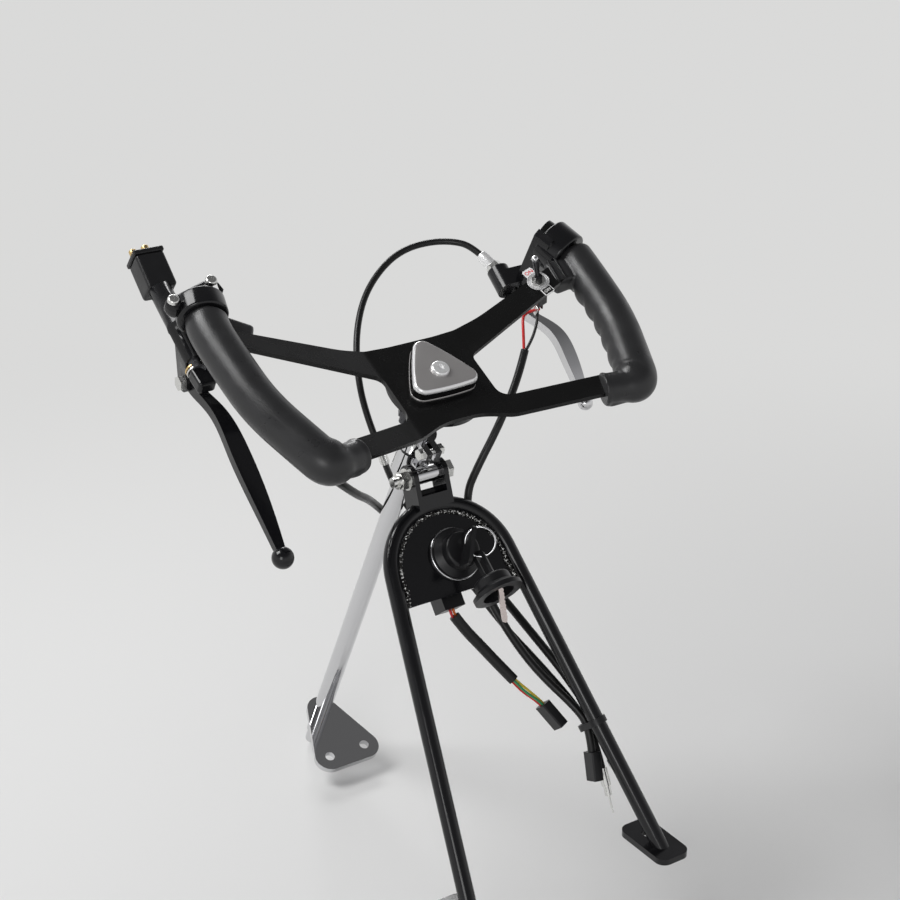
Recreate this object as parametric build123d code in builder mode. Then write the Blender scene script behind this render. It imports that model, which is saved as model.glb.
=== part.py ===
from build123d import *
from math import asin, atan2, cos, degrees, hypot, pi, radians, sin, tan
import os

# Kart steering assembly: a yoke wheel with moulded grips and hand controls on a chromed column,
# carried by a tubular hoop that also holds the ignition switch. Millimetres and degrees.
# +X is the driver's right, +Y forward, +Z up. The origin lies between the two foot bolts,
# on the underside of the feet.

os.makedirs("parts", exist_ok=True)

SIDES = (("left", -1), ("right", 1))

# Clearances
RUNNING = 0.05
SEAT = 0.05
SLIP = 0.15

# Support hoop
HOOP_RAKE = 38.33
HOOP_HEIGHT = 250.0
HOOP_RADIUS = 51.5
HOOP_BAR = 12.4
FOOT_X = 86.0
FOOT_SIZE = (28.0, 54.0, 5.0)
FOOT_BOLT = 8.5
LEG_SETBACK = 20.0
GUSSET_THICKNESS = 3.0
GUSSET_DROP = 17.5
HOOP_SPREAD = degrees(atan2(FOOT_X, HOOP_HEIGHT) - asin(HOOP_RADIUS / hypot(FOOT_X, HOOP_HEIGHT)))

# Bracket on top of the hoop, with the cross bolt
BRACKET_LEAN = 19.3
BRACKET_RISE = 24.5
BRACKET_WIDTH = 20.0
EAR_INNER = 11.2
EAR_THICKNESS = 4.0
EAR_RADIUS = 10.5
WEB_THICKNESS = 4.0
CROSS_BOLT = 8.0
CROSS_TUBE = 13.0
WASHER = (17.0, 1.6)
BOLT_HEAD = (13.0, 5.3)
NUT_HEIGHT = 8.0
BOLT_TIP = 4.0

# Column and its bearing
COLUMN_RAKE = 26.28
COLUMN_DIAMETER = 15.0
COLUMN_LENGTH = 440.0
COLUMN_PIN = (12.0, 16.0)
BEARING_OFFSET = 20.6
WHEEL_RISE = 82.0
WHEEL_OFFSET = 2.0
BUSH_DIAMETER = 24.0
BUSH_LENGTH = 26.0
LINER_WALL = 1.5
LINER_FLANGE = (23.0, 4.0)
NECK_SIZE = (12.0, 16.0)
COLLAR_DIAMETER = 27.0
COLLAR_HEIGHT = 13.0
COLLAR_EAR = (5.0, 10.0, 9.5)
COLLAR_SLIT = 3.0
COLLAR_BOLT = 5.0

# Hub under the yoke plate
HUB_DIAMETER = 74.0
HUB_THICKNESS = 6.0
HUB_SLEEVE = (24.0, 24.0)
STUD_CIRCLE = 32.0
STUD_ANGLES = (90.0, 200.0, 340.0)
STUD_DIAMETER = 6.0
STUD_LENGTH = 19.0
STUD_NUT = (10.0, 5.2)

# Drop plate that drives the tie rods
DROP_PLATE = (5.0, 13.0)
DROP_PLATE_FOOT = 24.0
TIE_ROD_REACH = 46.0
TIE_ROD_SPREAD = 17.0
TIE_ROD_HOLE = 8.2

# Yoke plate: flat centre, arms bent up from the bend line
PLATE_THICKNESS = 4.0
BEND_X = 39.4
DISH_SLOPE = 0.307
BEND_RADIUS = 14.0
UPPER_ARM_END = 150.0
LOWER_ARM_END = 112.0
# Right half of the outline, from the top middle clockwise: x, y, corner radius
PLATE_OUTLINE = (
    (20.0, 38.6, 80.0),
    (60.0, 41.2, 90.0),
    (UPPER_ARM_END, 61.5, 0.0),
    (UPPER_ARM_END, 45.3, 0.0),
    (39.0, 12.8, 7.0),
    (39.0, -31.0, 13.0),
    (LOWER_ARM_END, -51.2, 0.0),
    (LOWER_ARM_END, -68.9, 0.0),
    (44.0, -50.2, 60.0),
    (16.0, -40.4, 60.0),
)

# Centre cap: triangle with bulging sides, vertex at twelve o'clock
CAP_CIRCLE = 37.0
CAP_BULGE = 2.6
CAP_CORNER = 8.0
CAP_HEIGHT = 10.7
CAP_BEVEL = (2.4, 2.0)
CAP_CENTRE_Y = 0.6
CAP_SCREW = (14.0, 2.6, 5.0)

# Grips and the tubes inside them
TUBE_DIAMETER = 22.0
GRIP_DIAMETER = 31.0
GRIP_LIP = (34.0, 5.0)
# Centre line of the right grip from the elbow mouth to the clamp, in the wheel's own axes: x, y, z
ELBOW_MOUTH = (105.0, -61.7, 17.9)
ELBOW_CORNER = (128.9, -68.3, 23.0)
GRIP_LOWER_BEND = (152.5, -5.9, 23.2)
GRIP_UPPER_BEND = (156.05, 72.3, 25.3)
GRIP_HEAD = (144.2, 96.5, 26.15)
TUBE_TIP = (140.6, 117.0, 27.0)
RIGHT_TUBE_TIP = (146.45, 93.0, 26.05)
GRIP_RADII = (17.0, 200.0, 82.0)
HEAD_RADIUS = 28.0
GRIP_SHARE = {"left": 0.893, "right": 0.885}
BOSS_CENTRE = (131.0, 51.0, 27.0)
BOSS_SIZE = (24.0, 30.0, 15.0)
# Finger grooves: height on the wheel, and the size of the round cutter
GROOVE_PLACES = (-40.0, -23.0, -6.0, 11.0, 28.0)
GROOVE_RADIUS = 11.0
GROOVE_DEPTH = 2.0
GROOVE_TURN = 40.0

# Left hand control: clamp, master cylinder, reservoir
CLAMP_DIAMETER = 38.0
CLAMP_WIDTH = 15.0
CLAMP_LUG = (49.0, 13.0)
CLAMP_GAP = 1.6
CLAMP_BOLT = (5.0, 15.0)
CLAMP_BOLT_SPACING = 36.5
CLAMP_BOLT_HEAD = (8.6, 4.4)
CLAMP_SHARE = {"left": 0.944, "right": 0.938}
CLAMP_SPLIT = {"left": (-0.658, 0.275, -0.70), "right": (-0.66, -0.30, 0.69)}
MASTER_TOP = (-159.5, 137.0, 5.5)
MASTER_FOOT = (-157.0, 76.0, -9.0)
MASTER_DIAMETER = 17.0
RESERVOIR_CENTRE = (-153.6, 157.0, 5.0)
RESERVOIR_SIZE = (23.0, 20.0, 38.0)
LID_THICKNESS = 3.0
LID_SCREW = (5.0, 2.0)
LID_SCREW_SPACING = 9.0
BANJO_BOLT = (10.0, 16.0)
BANJO_RING = (13.0, 5.0)
BANJO_STEM = (5.0, 9.0)
BANJO_SLEEVE = (8.6, 15.0)
HOSE_WAY = (0.45, -0.80, -0.40)
BANJO_DIRECTION = (0.80, -0.35, -0.48)

# Right hand control: clamp, perch, cable housing
PERCH_CENTRE = (135.0, 84.0, -14.0)
PERCH_DIAMETER = 17.0
HOUSING_FOOT = (119.5, 79.0, -17.0)
HOUSING_HEAD = (121.5, 100.0, -15.0)
HOUSING_DIAMETER = 17.5
ADJUSTER_HEAD = (117.3, 116.6, -14.5)
ADJUSTER_DIAMETER = 7.5
ADJUSTER_NUT = (11.0, 4.0)

# Levers and their pivots, in the wheel's own axes
LEVER_PIVOT = {"left": (-157.0, 76.0, -31.0), "right": (131.5, 73.0, -31.0)}
LEVER_BALL = {"left": (-157.8, -78.7, -52.0), "right": (149.0, -13.5, -60.0)}
LEVER_BALL_SIZE = {"left": 8.0, "right": 6.0}
LEVER_HUB = (7.5, 7.0)
PIVOT_BOLT = 6.0
PIVOT_HEAD = (10.0, 3.5)
EAR_WALL = 3.0
EAR_GAP = 0.3
EAR_FOOT_RADIUS = 7.5
# Blade of each lever: share of its length, sideways shift, half width, lift, half thickness
BLADES = {
    "left": (
        (0.0, 0.0, 3.6, 0.0, 5.0),
        (0.07, 0.0, 3.6, 1.5, 4.6),
        (0.12, 0.8, 3.8, 3.8, 4.4),
        (0.21, 3.0, 4.8, 6.8, 4.0),
        (0.45, 3.0, 7.0, 8.0, 3.8),
        (0.80, 1.2, 5.4, 4.0, 3.2),
        (1.0, 0.0, 3.0, 0.0, 2.8),
    ),
    "right": (
        (0.0, 0.0, 3.6, 0.0, 5.0),
        (0.05, 0.0, 3.6, 0.5, 4.8),
        (0.10, 0.3, 3.6, 1.4, 4.6),
        (0.20, 3.6, 4.0, 3.8, 4.2),
        (0.36, 7.5, 5.2, 7.5, 3.8),
        (0.60, 6.0, 6.0, 7.0, 3.6),
        (0.85, 2.5, 4.4, 3.2, 3.2),
        (1.0, 0.0, 3.0, 0.0, 2.8),
    ),
}

# Toggle switch on the upper right arm, its label turned a little from the arm's cross line
SWITCH_PLACE = (114.6, 47.7)
SWITCH_TURN = 9.0
SWITCH_BODY = (8.5, 13.0, 18.0)
SWITCH_BUSH = (6.0, 7.0)
SWITCH_NUT = (9.5, 2.2)
SWITCH_DISC = 15.5
SWITCH_LABEL = (8.6, 29.2, 0.8)
SWITCH_BAT = (2.4, 15.0)
SWITCH_BAT_LEAN = 25.0
SWITCH_TERMINAL = (1.0, 2.6, 5.0)

# Ignition switch in the gusset plate, in the hoop's own axes
IGNITION_PLACE = (4.0, 11.0)
IGNITION_BARREL = (27.0, 34.0)
IGNITION_BLOCK_X = (-12.0, 6.0)
IGNITION_BLOCK_Y = (-26.0, 6.0)
IGNITION_BLOCK_Z = (-12.0, -30.0)
BEZEL = (41.0, 1.6)
LOCK_CYLINDER = (24.0, 7.0)

# Keys: moulded cup with a stem, revolved, as radius and height above the rim, and its hollow
KEY_PROFILE = ((19.5, 0.0), (19.5, 3.5), (14.6, 7.0), (14.0, 14.6))
KEY_HOLLOW = (12.6, 8.5)
KEY_ROUNDING = 2.5
KEY_TAB_ROUNDING = 4.0
# Each key: rim centre, direction of its axis, direction across its tab, in the hoop's axes
# Tab as width, thickness, height of its top; slot as shift, lowest and highest point, width
KEYS = {
    "ignition_key": {
        "rim": (4.0, 11.0, 3.4),
        "axis": (0.0, 0.0, 1.0),
        "across": (0.5, 0.866, 0.0),
        "tab": (30.0, 3.0, 30.0),
        "slot": (11.2, 21.6, 25.0, 4.6),
    },
    "spare_key": {
        "rim": (11.0, -30.5, 31.0),
        "axis": (0.0, 0.97, -0.24),
        "across": (0.66, 0.18, 0.73),
        "tab": (9.5, 3.0, 37.0),
        "slot": (0.0, 20.0, 32.6, 4.2),
    },
}
KEY_BLADE = (7.6, 2.0, 21.0)
RING = (11.1, 0.8)
RING_CENTRE = (14.0, 11.5, 27.0)
RING_NORMAL = (-0.564, -0.217, 0.797)
RING_ROOM = 1.3

# Ends of the cords
PLUG = (13.0, 8.0, 22.0)
PLUG_FACE = (46.4, -115.6, -25.0)
PLUG_WAY = (0.40, -0.917, 0.0)
MOST_BEND = 120.0
# Clip that ties the three cords to the right leg: height of its place, size of the bundle and its shift
CLIP_HEIGHT = -142.0
CLIP_WIDTH = 5.0
CLIP_THICKNESS = 1.4
CLIP_BUNDLE = 7.4
CLIP_SHIFT = (0.0, -11.4)
BEND_SHARE = 0.44
UNION = ((12.0, 9.0), (8.0, 16.0))
CABLE_END = ((7.4, 14.0), (5.6, 8.0), (1.6, 14.0))

# Cords: diameters
HOSE_DIAMETER = 6.6
CABLE_DIAMETER = 5.2
SLEEVE_DIAMETER = 6.2
WIRE_DIAMETER = 1.8
LEAD_DIAMETER = 8.6


def regular_hexagon(across_flats):
    return across_flats / 2 / cos(radians(30))


# Planes: the hoop's own, the bracket's side view, and the wheel's
rise = Vector(0, sin(radians(HOOP_RAKE)), cos(radians(HOOP_RAKE)))
arc_centre = Vector(0, -LEG_SETBACK, 0) + rise * HOOP_HEIGHT
HOOP = Plane(origin=arc_centre, x_dir=(1, 0, 0), z_dir=(0, -cos(radians(HOOP_RAKE)), sin(radians(HOOP_RAKE))))

bracket_up = Vector(0, sin(radians(BRACKET_LEAN)), cos(radians(BRACKET_LEAN)))
bolt_centre = arc_centre + rise * HOOP_RADIUS + bracket_up * BRACKET_RISE
BRACKET = Plane(origin=bolt_centre, x_dir=(0, bracket_up.Z, -bracket_up.Y), z_dir=(1, 0, 0))

column_up = Vector(0, -sin(radians(COLUMN_RAKE)), cos(radians(COLUMN_RAKE)))
column_front = Vector(0, cos(radians(COLUMN_RAKE)), sin(radians(COLUMN_RAKE)))
column_top = bolt_centre + column_front * BEARING_OFFSET + column_up * WHEEL_RISE
COLUMN = Plane(origin=column_top, x_dir=(1, 0, 0), z_dir=column_up)
WHEEL = Plane(origin=column_top + column_front * WHEEL_OFFSET, x_dir=(1, 0, 0), z_dir=column_up)


def on_wheel(x, y, z):
    return WHEEL.from_local_coords(Vector(x, y, z))


def on_hoop(x, y, z):
    return HOOP.from_local_coords(Vector(x, y, z))


def wheel_direction(x, y, z):
    return (on_wheel(x, y, z) - on_wheel(0, 0, 0)).normalized()


def plane_along(origin, direction, x_hint):
    across = x_hint - direction * direction.dot(x_hint)
    return Plane(origin=origin, x_dir=across.normalized(), z_dir=direction)


def save(piece, name):
    piece.part.label = name
    export_step(piece.part, f"parts/{name}.step")


# Hoop: bent bar, cut level at the top of the feet
spread = radians(HOOP_SPREAD)
shoulder = (HOOP_RADIUS * cos(spread), HOOP_RADIUS * sin(spread))
leg_drop = HOOP_HEIGHT + HOOP_BAR
foot_reach = HOOP_RADIUS / cos(spread) + leg_drop * tan(spread)
with BuildPart() as hoop:
    with BuildLine(HOOP) as hoop_line:
        Line((-foot_reach, -leg_drop), (-shoulder[0], shoulder[1]))
        ThreePointArc((-shoulder[0], shoulder[1]), (0, HOOP_RADIUS), (shoulder[0], shoulder[1]))
        Line((shoulder[0], shoulder[1]), (foot_reach, -leg_drop))
    with BuildSketch(Plane(origin=hoop_line.line @ 0, z_dir=hoop_line.line % 0)):
        Circle(HOOP_BAR / 2)
    sweep(path=hoop_line.line)
    split(bisect_by=Plane.XY.offset(FOOT_SIZE[2]), keep=Keep.TOP)
save(hoop, "hoop")

# Feet: flat plates under the legs, the bolt hole ahead of the leg
for side, sign in SIDES:
    with BuildPart() as foot:
        with BuildSketch(Plane(origin=(sign * FOOT_X, -FOOT_SIZE[1] / 6, 0))):
            RectangleRounded(FOOT_SIZE[0], FOOT_SIZE[1], 8)
        extrude(amount=FOOT_SIZE[2])
        with BuildSketch(Plane(origin=(sign * FOOT_X, 0, 0))):
            Circle(FOOT_BOLT / 2)
        extrude(amount=FOOT_SIZE[2], mode=Mode.SUBTRACT)
    save(foot, f"foot_{side}")

# Gusset plate in the arch, with the hole for the switch barrel
inner = HOOP_RADIUS - HOOP_BAR / 2 - SEAT
inner_shoulder = (inner * cos(spread), inner * sin(spread))
inner_reach = inner / cos(spread) + GUSSET_DROP * tan(spread)
with BuildPart() as gusset_plate:
    with BuildSketch(HOOP) as gusset_outline:
        with BuildLine():
            Line((-inner_reach, -GUSSET_DROP), (-inner_shoulder[0], inner_shoulder[1]))
            ThreePointArc((-inner_shoulder[0], inner_shoulder[1]), (0, inner), inner_shoulder)
            Line((inner_shoulder[0], inner_shoulder[1]), (inner_reach, -GUSSET_DROP))
            Line((inner_reach, -GUSSET_DROP), (-inner_reach, -GUSSET_DROP))
        make_face()
        with Locations(IGNITION_PLACE):
            Circle(IGNITION_BARREL[0] / 2 + SLIP, mode=Mode.SUBTRACT)
    extrude(amount=GUSSET_THICKNESS / 2, both=True)
save(gusset_plate, "gusset_plate")

# Bracket: U-shaped, saddled over the bar, ears round at the cross bolt
EAR_OUTER = EAR_INNER + EAR_THICKNESS
web_top = -BRACKET_RISE + HOOP_BAR / 2 + WEB_THICKNESS
with BuildPart() as bracket:
    with BuildSketch(BRACKET):
        Circle(EAR_RADIUS)
        with Locations((0, -BRACKET_RISE / 2)):
            Rectangle(BRACKET_WIDTH, BRACKET_RISE)
    extrude(amount=EAR_OUTER, both=True)
    with BuildSketch(BRACKET):
        with Locations((0, web_top)):
            Rectangle(4 * EAR_RADIUS, 4 * EAR_RADIUS, align=(Align.CENTER, Align.MIN))
    extrude(amount=EAR_INNER, both=True, mode=Mode.SUBTRACT)
    with BuildSketch(BRACKET):
        Circle(CROSS_BOLT / 2 + SLIP)
    extrude(amount=EAR_OUTER, both=True, mode=Mode.SUBTRACT)
    with BuildSketch(Plane(origin=arc_centre + rise * HOOP_RADIUS, x_dir=(0, 1, 0), z_dir=(1, 0, 0))):
        Circle(HOOP_BAR / 2 + SEAT)
    revolve(axis=Axis(arc_centre, HOOP.z_dir), revolution_arc=360, mode=Mode.SUBTRACT)
save(bracket, "bracket")

# Column bearing: cross tube on the bolt, welded neck, bush round the column
bush_middle = -WHEEL_RISE - (BUSH_LENGTH - LINER_FLANGE[1]) / 6
liner_radius = COLUMN_DIAMETER / 2 + RUNNING + LINER_WALL
with BuildPart() as column_bearing:
    with BuildSketch(BRACKET):
        Circle(CROSS_TUBE / 2)
    extrude(amount=EAR_INNER - SLIP, both=True)
    with BuildSketch(COLUMN.offset(bush_middle)):
        Circle(BUSH_DIAMETER / 2)
        with Locations((0, -BEARING_OFFSET / 2)):
            Rectangle(NECK_SIZE[0], BEARING_OFFSET)
    extrude(amount=NECK_SIZE[1] / 2, both=True)
    with BuildSketch(COLUMN.offset(bush_middle)):
        Circle(BUSH_DIAMETER / 2)
    extrude(amount=BUSH_LENGTH / 2, both=True)
    with BuildSketch(COLUMN.offset(bush_middle)):
        Circle(liner_radius + SEAT)
    extrude(amount=BUSH_LENGTH, both=True, mode=Mode.SUBTRACT)
    with BuildSketch(BRACKET):
        Circle(CROSS_BOLT / 2 + SLIP)
    extrude(amount=EAR_OUTER, both=True, mode=Mode.SUBTRACT)
save(column_bearing, "column_bearing")

# Liner: flanged plain bush that the column runs in
bush_top = bush_middle + BUSH_LENGTH / 2
with BuildPart() as column_liner:
    with BuildSketch(COLUMN.offset(bush_top - BUSH_LENGTH)):
        Circle(liner_radius)
    extrude(amount=BUSH_LENGTH)
    with BuildSketch(COLUMN.offset(bush_top)):
        Circle(LINER_FLANGE[0] / 2)
    extrude(amount=LINER_FLANGE[1])
    with BuildSketch(COLUMN.offset(bush_top - BUSH_LENGTH)):
        Circle(COLUMN_DIAMETER / 2 + RUNNING)
    extrude(amount=BUSH_LENGTH + LINER_FLANGE[1], mode=Mode.SUBTRACT)
save(column_liner, "column_liner")

# Cross bolt: hexagon head on the right, nut and bare thread on the left
with BuildPart() as cross_bolt:
    with BuildSketch(BRACKET.offset(EAR_OUTER)):
        Circle(WASHER[0] / 2)
    extrude(amount=WASHER[1])
    with BuildSketch(BRACKET.offset(EAR_OUTER + WASHER[1])):
        RegularPolygon(regular_hexagon(BOLT_HEAD[0]), 6)
    extrude(amount=BOLT_HEAD[1])
    with BuildSketch(BRACKET.offset(EAR_OUTER)):
        Circle(CROSS_BOLT / 2)
    extrude(amount=-2 * EAR_OUTER - WASHER[1] - NUT_HEIGHT - BOLT_TIP)
save(cross_bolt, "cross_bolt")

with BuildPart() as cross_nut:
    with BuildSketch(BRACKET.offset(-EAR_OUTER)):
        Circle(WASHER[0] / 2)
    extrude(amount=-WASHER[1])
    with BuildSketch(BRACKET.offset(-EAR_OUTER - WASHER[1])):
        RegularPolygon(regular_hexagon(BOLT_HEAD[0]), 6)
    extrude(amount=-0.7 * NUT_HEIGHT)
    with BuildSketch(BRACKET.offset(-EAR_OUTER - WASHER[1])):
        Circle(0.46 * BOLT_HEAD[0])
    extrude(amount=-NUT_HEIGHT)
    with BuildSketch(BRACKET.offset(-EAR_OUTER)):
        Circle(CROSS_BOLT / 2 + SEAT)
    extrude(amount=-2 * NUT_HEIGHT, mode=Mode.SUBTRACT)
save(cross_nut, "cross_nut")

# Column: bar with a turned pin at its foot
with BuildPart() as column:
    with BuildSketch(COLUMN.offset(-PLATE_THICKNESS)):
        Circle(COLUMN_DIAMETER / 2)
    extrude(amount=-COLUMN_LENGTH)
    with BuildSketch(COLUMN.offset(-PLATE_THICKNESS - COLUMN_LENGTH)):
        Circle(COLUMN_PIN[0] / 2)
    extrude(amount=-COLUMN_PIN[1])
    chamfer(column.faces().sort_by(Axis(column_top, column_up))[0].edges(), 1.5)
save(column, "column")

# Hub: flange and sleeve under the plate
STUD_PLACES = [(STUD_CIRCLE * cos(radians(a)), STUD_CIRCLE * sin(radians(a))) for a in STUD_ANGLES]
with BuildPart() as hub:
    with BuildSketch(COLUMN.offset(-PLATE_THICKNESS)):
        Circle(HUB_DIAMETER / 2)
        Circle(COLUMN_DIAMETER / 2 + SEAT, mode=Mode.SUBTRACT)
        with Locations(*STUD_PLACES):
            Circle(STUD_DIAMETER / 2 + SLIP, mode=Mode.SUBTRACT)
    extrude(amount=-HUB_THICKNESS)
    with BuildSketch(COLUMN.offset(-PLATE_THICKNESS - HUB_THICKNESS)):
        Circle(HUB_SLEEVE[0] / 2)
        Circle(COLUMN_DIAMETER / 2 + SEAT, mode=Mode.SUBTRACT)
    extrude(amount=-HUB_SLEEVE[1])
save(hub, "hub")

# Studs with their nuts, one solid each
with BuildPart() as hub_studs:
    with BuildSketch(COLUMN.offset(-PLATE_THICKNESS)):
        with Locations(*STUD_PLACES):
            Circle(STUD_DIAMETER / 2)
    extrude(amount=-STUD_LENGTH)
    with BuildSketch(COLUMN.offset(-PLATE_THICKNESS - HUB_THICKNESS)):
        with Locations(*STUD_PLACES):
            RegularPolygon(regular_hexagon(STUD_NUT[0]), 6)
    extrude(amount=-STUD_NUT[1])
save(hub_studs, "hub_studs")

# Collar: split ring clamped to the column above the liner
collar_foot = bush_top + LINER_FLANGE[1] + 2 * SLIP
ear_reach = COLLAR_DIAMETER / 2 + COLLAR_EAR[1]
with BuildPart() as collar:
    with BuildSketch(COLUMN.offset(collar_foot)):
        Circle(COLLAR_DIAMETER / 2)
    extrude(amount=COLLAR_HEIGHT)
    with BuildSketch(COLUMN.offset(collar_foot + COLLAR_HEIGHT - COLLAR_EAR[2])):
        with Locations((0, -ear_reach / 2)):
            Rectangle(COLLAR_SLIT + 2 * COLLAR_EAR[0], ear_reach)
    extrude(amount=COLLAR_EAR[2])
    with BuildSketch(COLUMN.offset(collar_foot)):
        Circle(COLUMN_DIAMETER / 2 + SEAT)
        with Locations((0, -ear_reach / 2)):
            Rectangle(COLLAR_SLIT, ear_reach)
    extrude(amount=COLLAR_HEIGHT, mode=Mode.SUBTRACT)
    bolt_y = -COLLAR_DIAMETER / 2 - COLLAR_EAR[1] / 2 + 1
    bolt_z = collar_foot + COLLAR_HEIGHT - COLLAR_EAR[2] / 2
    collar_bolt_centre = COLUMN.from_local_coords(Vector(0, bolt_y, bolt_z))
    COLLAR_BOLT_PLANE = Plane(origin=collar_bolt_centre, x_dir=column_front, z_dir=(1, 0, 0))
    with BuildSketch(COLLAR_BOLT_PLANE):
        Circle(COLLAR_BOLT / 2 + SLIP)
    extrude(amount=COLLAR_DIAMETER, both=True, mode=Mode.SUBTRACT)
save(collar, "collar")

collar_half = COLLAR_SLIT / 2 + COLLAR_EAR[0]
with BuildPart() as collar_bolt:
    with BuildSketch(COLLAR_BOLT_PLANE.offset(-collar_half)):
        RegularPolygon(regular_hexagon(8), 6)
    extrude(amount=-3.6)
    with BuildSketch(COLLAR_BOLT_PLANE.offset(-collar_half)):
        Circle(COLLAR_BOLT / 2)
    extrude(amount=2 * collar_half + 5.5)
    with BuildSketch(COLLAR_BOLT_PLANE.offset(collar_half)):
        RegularPolygon(regular_hexagon(8), 6)
    extrude(amount=4)
save(collar_bolt, "collar_bolt")

# Drop plate for the tie rods, near the foot of the column
drop_z = -PLATE_THICKNESS - COLUMN_LENGTH + DROP_PLATE_FOOT
with BuildPart() as drop_plate:
    with BuildSketch(COLUMN.offset(drop_z)):
        with Locations((0, 0), (-TIE_ROD_SPREAD, -TIE_ROD_REACH), (TIE_ROD_SPREAD, -TIE_ROD_REACH)):
            Circle(DROP_PLATE[1])
        make_hull()
        Circle(COLUMN_DIAMETER / 2 + SEAT, mode=Mode.SUBTRACT)
        with Locations((-TIE_ROD_SPREAD, -TIE_ROD_REACH), (TIE_ROD_SPREAD, -TIE_ROD_REACH)):
            Circle(TIE_ROD_HOLE / 2, mode=Mode.SUBTRACT)
    extrude(amount=DROP_PLATE[0])
save(drop_plate, "drop_plate")


# Yoke plate: bent strip cut to the outline
def arm_height(x):
    return (x - BEND_X) * DISH_SLOPE


arm_tilt = atan2(DISH_SLOPE, 1)
switch_centre = on_wheel(*SWITCH_PLACE, arm_height(SWITCH_PLACE[0]))
switch_up = wheel_direction(-sin(arm_tilt), 0, cos(arm_tilt))
switch_turn = radians(SWITCH_TURN)
SWITCH = plane_along(switch_centre, switch_up, wheel_direction(cos(switch_turn), sin(switch_turn), 0))
bush_hole = SWITCH_BUSH[0] / 2
strip_end = UPPER_ARM_END + 10
thickness_up = PLATE_THICKNESS * hypot(1, DISH_SLOPE)
half_angle = atan2(DISH_SLOPE, 1) / 2
lower_bend_x = BEND_X + PLATE_THICKNESS * tan(half_angle)
WHEEL_FRONT = Plane(origin=WHEEL.origin, x_dir=(1, 0, 0), z_dir=-column_front)
with BuildPart() as yoke_plate:
    with BuildSketch(WHEEL_FRONT):
        with BuildLine():
            FilletPolyline(
                (-strip_end, arm_height(strip_end)),
                (-BEND_X, 0),
                (BEND_X, 0),
                (strip_end, arm_height(strip_end)),
                radius=BEND_RADIUS,
            )
            FilletPolyline(
                (strip_end, arm_height(strip_end) - thickness_up),
                (lower_bend_x, -PLATE_THICKNESS),
                (-lower_bend_x, -PLATE_THICKNESS),
                (-strip_end, arm_height(strip_end) - thickness_up),
                radius=BEND_RADIUS + PLATE_THICKNESS,
            )
            Line((-strip_end, arm_height(strip_end)), (-strip_end, arm_height(strip_end) - thickness_up))
            Line((strip_end, arm_height(strip_end)), (strip_end, arm_height(strip_end) - thickness_up))
        make_face()
    extrude(amount=90, both=True)
    with BuildSketch(WHEEL):
        with BuildLine():
            right_points = [(x, y) for x, y, r in PLATE_OUTLINE]
            left_points = [(-x, y) for x, y, r in reversed(PLATE_OUTLINE)]
            right_radii = [r for x, y, r in PLATE_OUTLINE]
            FilletPolyline(
                *right_points,
                *left_points,
                radius=right_radii + right_radii[::-1],
                close=True,
            )
        make_face()
    extrude(amount=60, both=True, mode=Mode.INTERSECT)
    with BuildSketch(SWITCH):
        Circle(bush_hole + SLIP)
    extrude(amount=-3 * PLATE_THICKNESS, mode=Mode.SUBTRACT)
save(yoke_plate, "yoke_plate")

# Centre cap with bevelled rim, and its button screw
side_reach = CAP_CIRCLE / 2 + CAP_BULGE
corner_points, side_middles = [], []
for turn in (90, 210, 330):
    away = radians(turn)
    corner_points.append((CAP_CIRCLE * cos(away), CAP_CENTRE_Y + CAP_CIRCLE * sin(away)))
    away = radians(turn + 60)
    side_middles.append((side_reach * cos(away), CAP_CENTRE_Y + side_reach * sin(away)))
with BuildPart() as cap:
    with BuildSketch(WHEEL) as cap_outline:
        with BuildLine():
            for i in range(3):
                ThreePointArc(corner_points[i], side_middles[i], corner_points[(i + 1) % 3])
        make_face()
        fillet(cap_outline.vertices(), CAP_CORNER)
    extrude(amount=CAP_HEIGHT)
    cap_top = cap.faces().sort_by(Axis(WHEEL.origin, column_up))[-1]
    chamfer(cap_top.edges(), CAP_BEVEL[0], CAP_BEVEL[1])
save(cap, "cap")

with BuildPart() as cap_screw:
    with BuildSketch(WHEEL.offset(CAP_HEIGHT)):
        with Locations((0, CAP_CENTRE_Y - 1.6)):
            Circle(CAP_SCREW[0] / 2)
    extrude(amount=CAP_SCREW[1])
    rim = cap_screw.faces().sort_by(Axis(WHEEL.origin, column_up))[-1].edges()
    fillet(rim, 0.7 * CAP_SCREW[1])
    with BuildSketch(WHEEL.offset(CAP_HEIGHT + CAP_SCREW[1])):
        with Locations((0, CAP_CENTRE_Y - 1.6)):
            RegularPolygon(regular_hexagon(CAP_SCREW[2]), 6)
    extrude(amount=-1.6, mode=Mode.SUBTRACT)
save(cap_screw, "cap_screw")


# Grips and the tubes inside them
def wheel_points(sign, points):
    return [on_wheel(sign * x, y, z) for x, y, z in points]


GRIP_ROUTE = (ELBOW_MOUTH, ELBOW_CORNER, GRIP_LOWER_BEND, GRIP_UPPER_BEND)
TUBE_ROUTES = {
    "left": (wheel_points(-1, GRIP_ROUTE + (GRIP_HEAD, TUBE_TIP)), GRIP_RADII + (HEAD_RADIUS,)),
    "right": (wheel_points(1, GRIP_ROUTE + (RIGHT_TUBE_TIP,)), GRIP_RADII),
}

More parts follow.
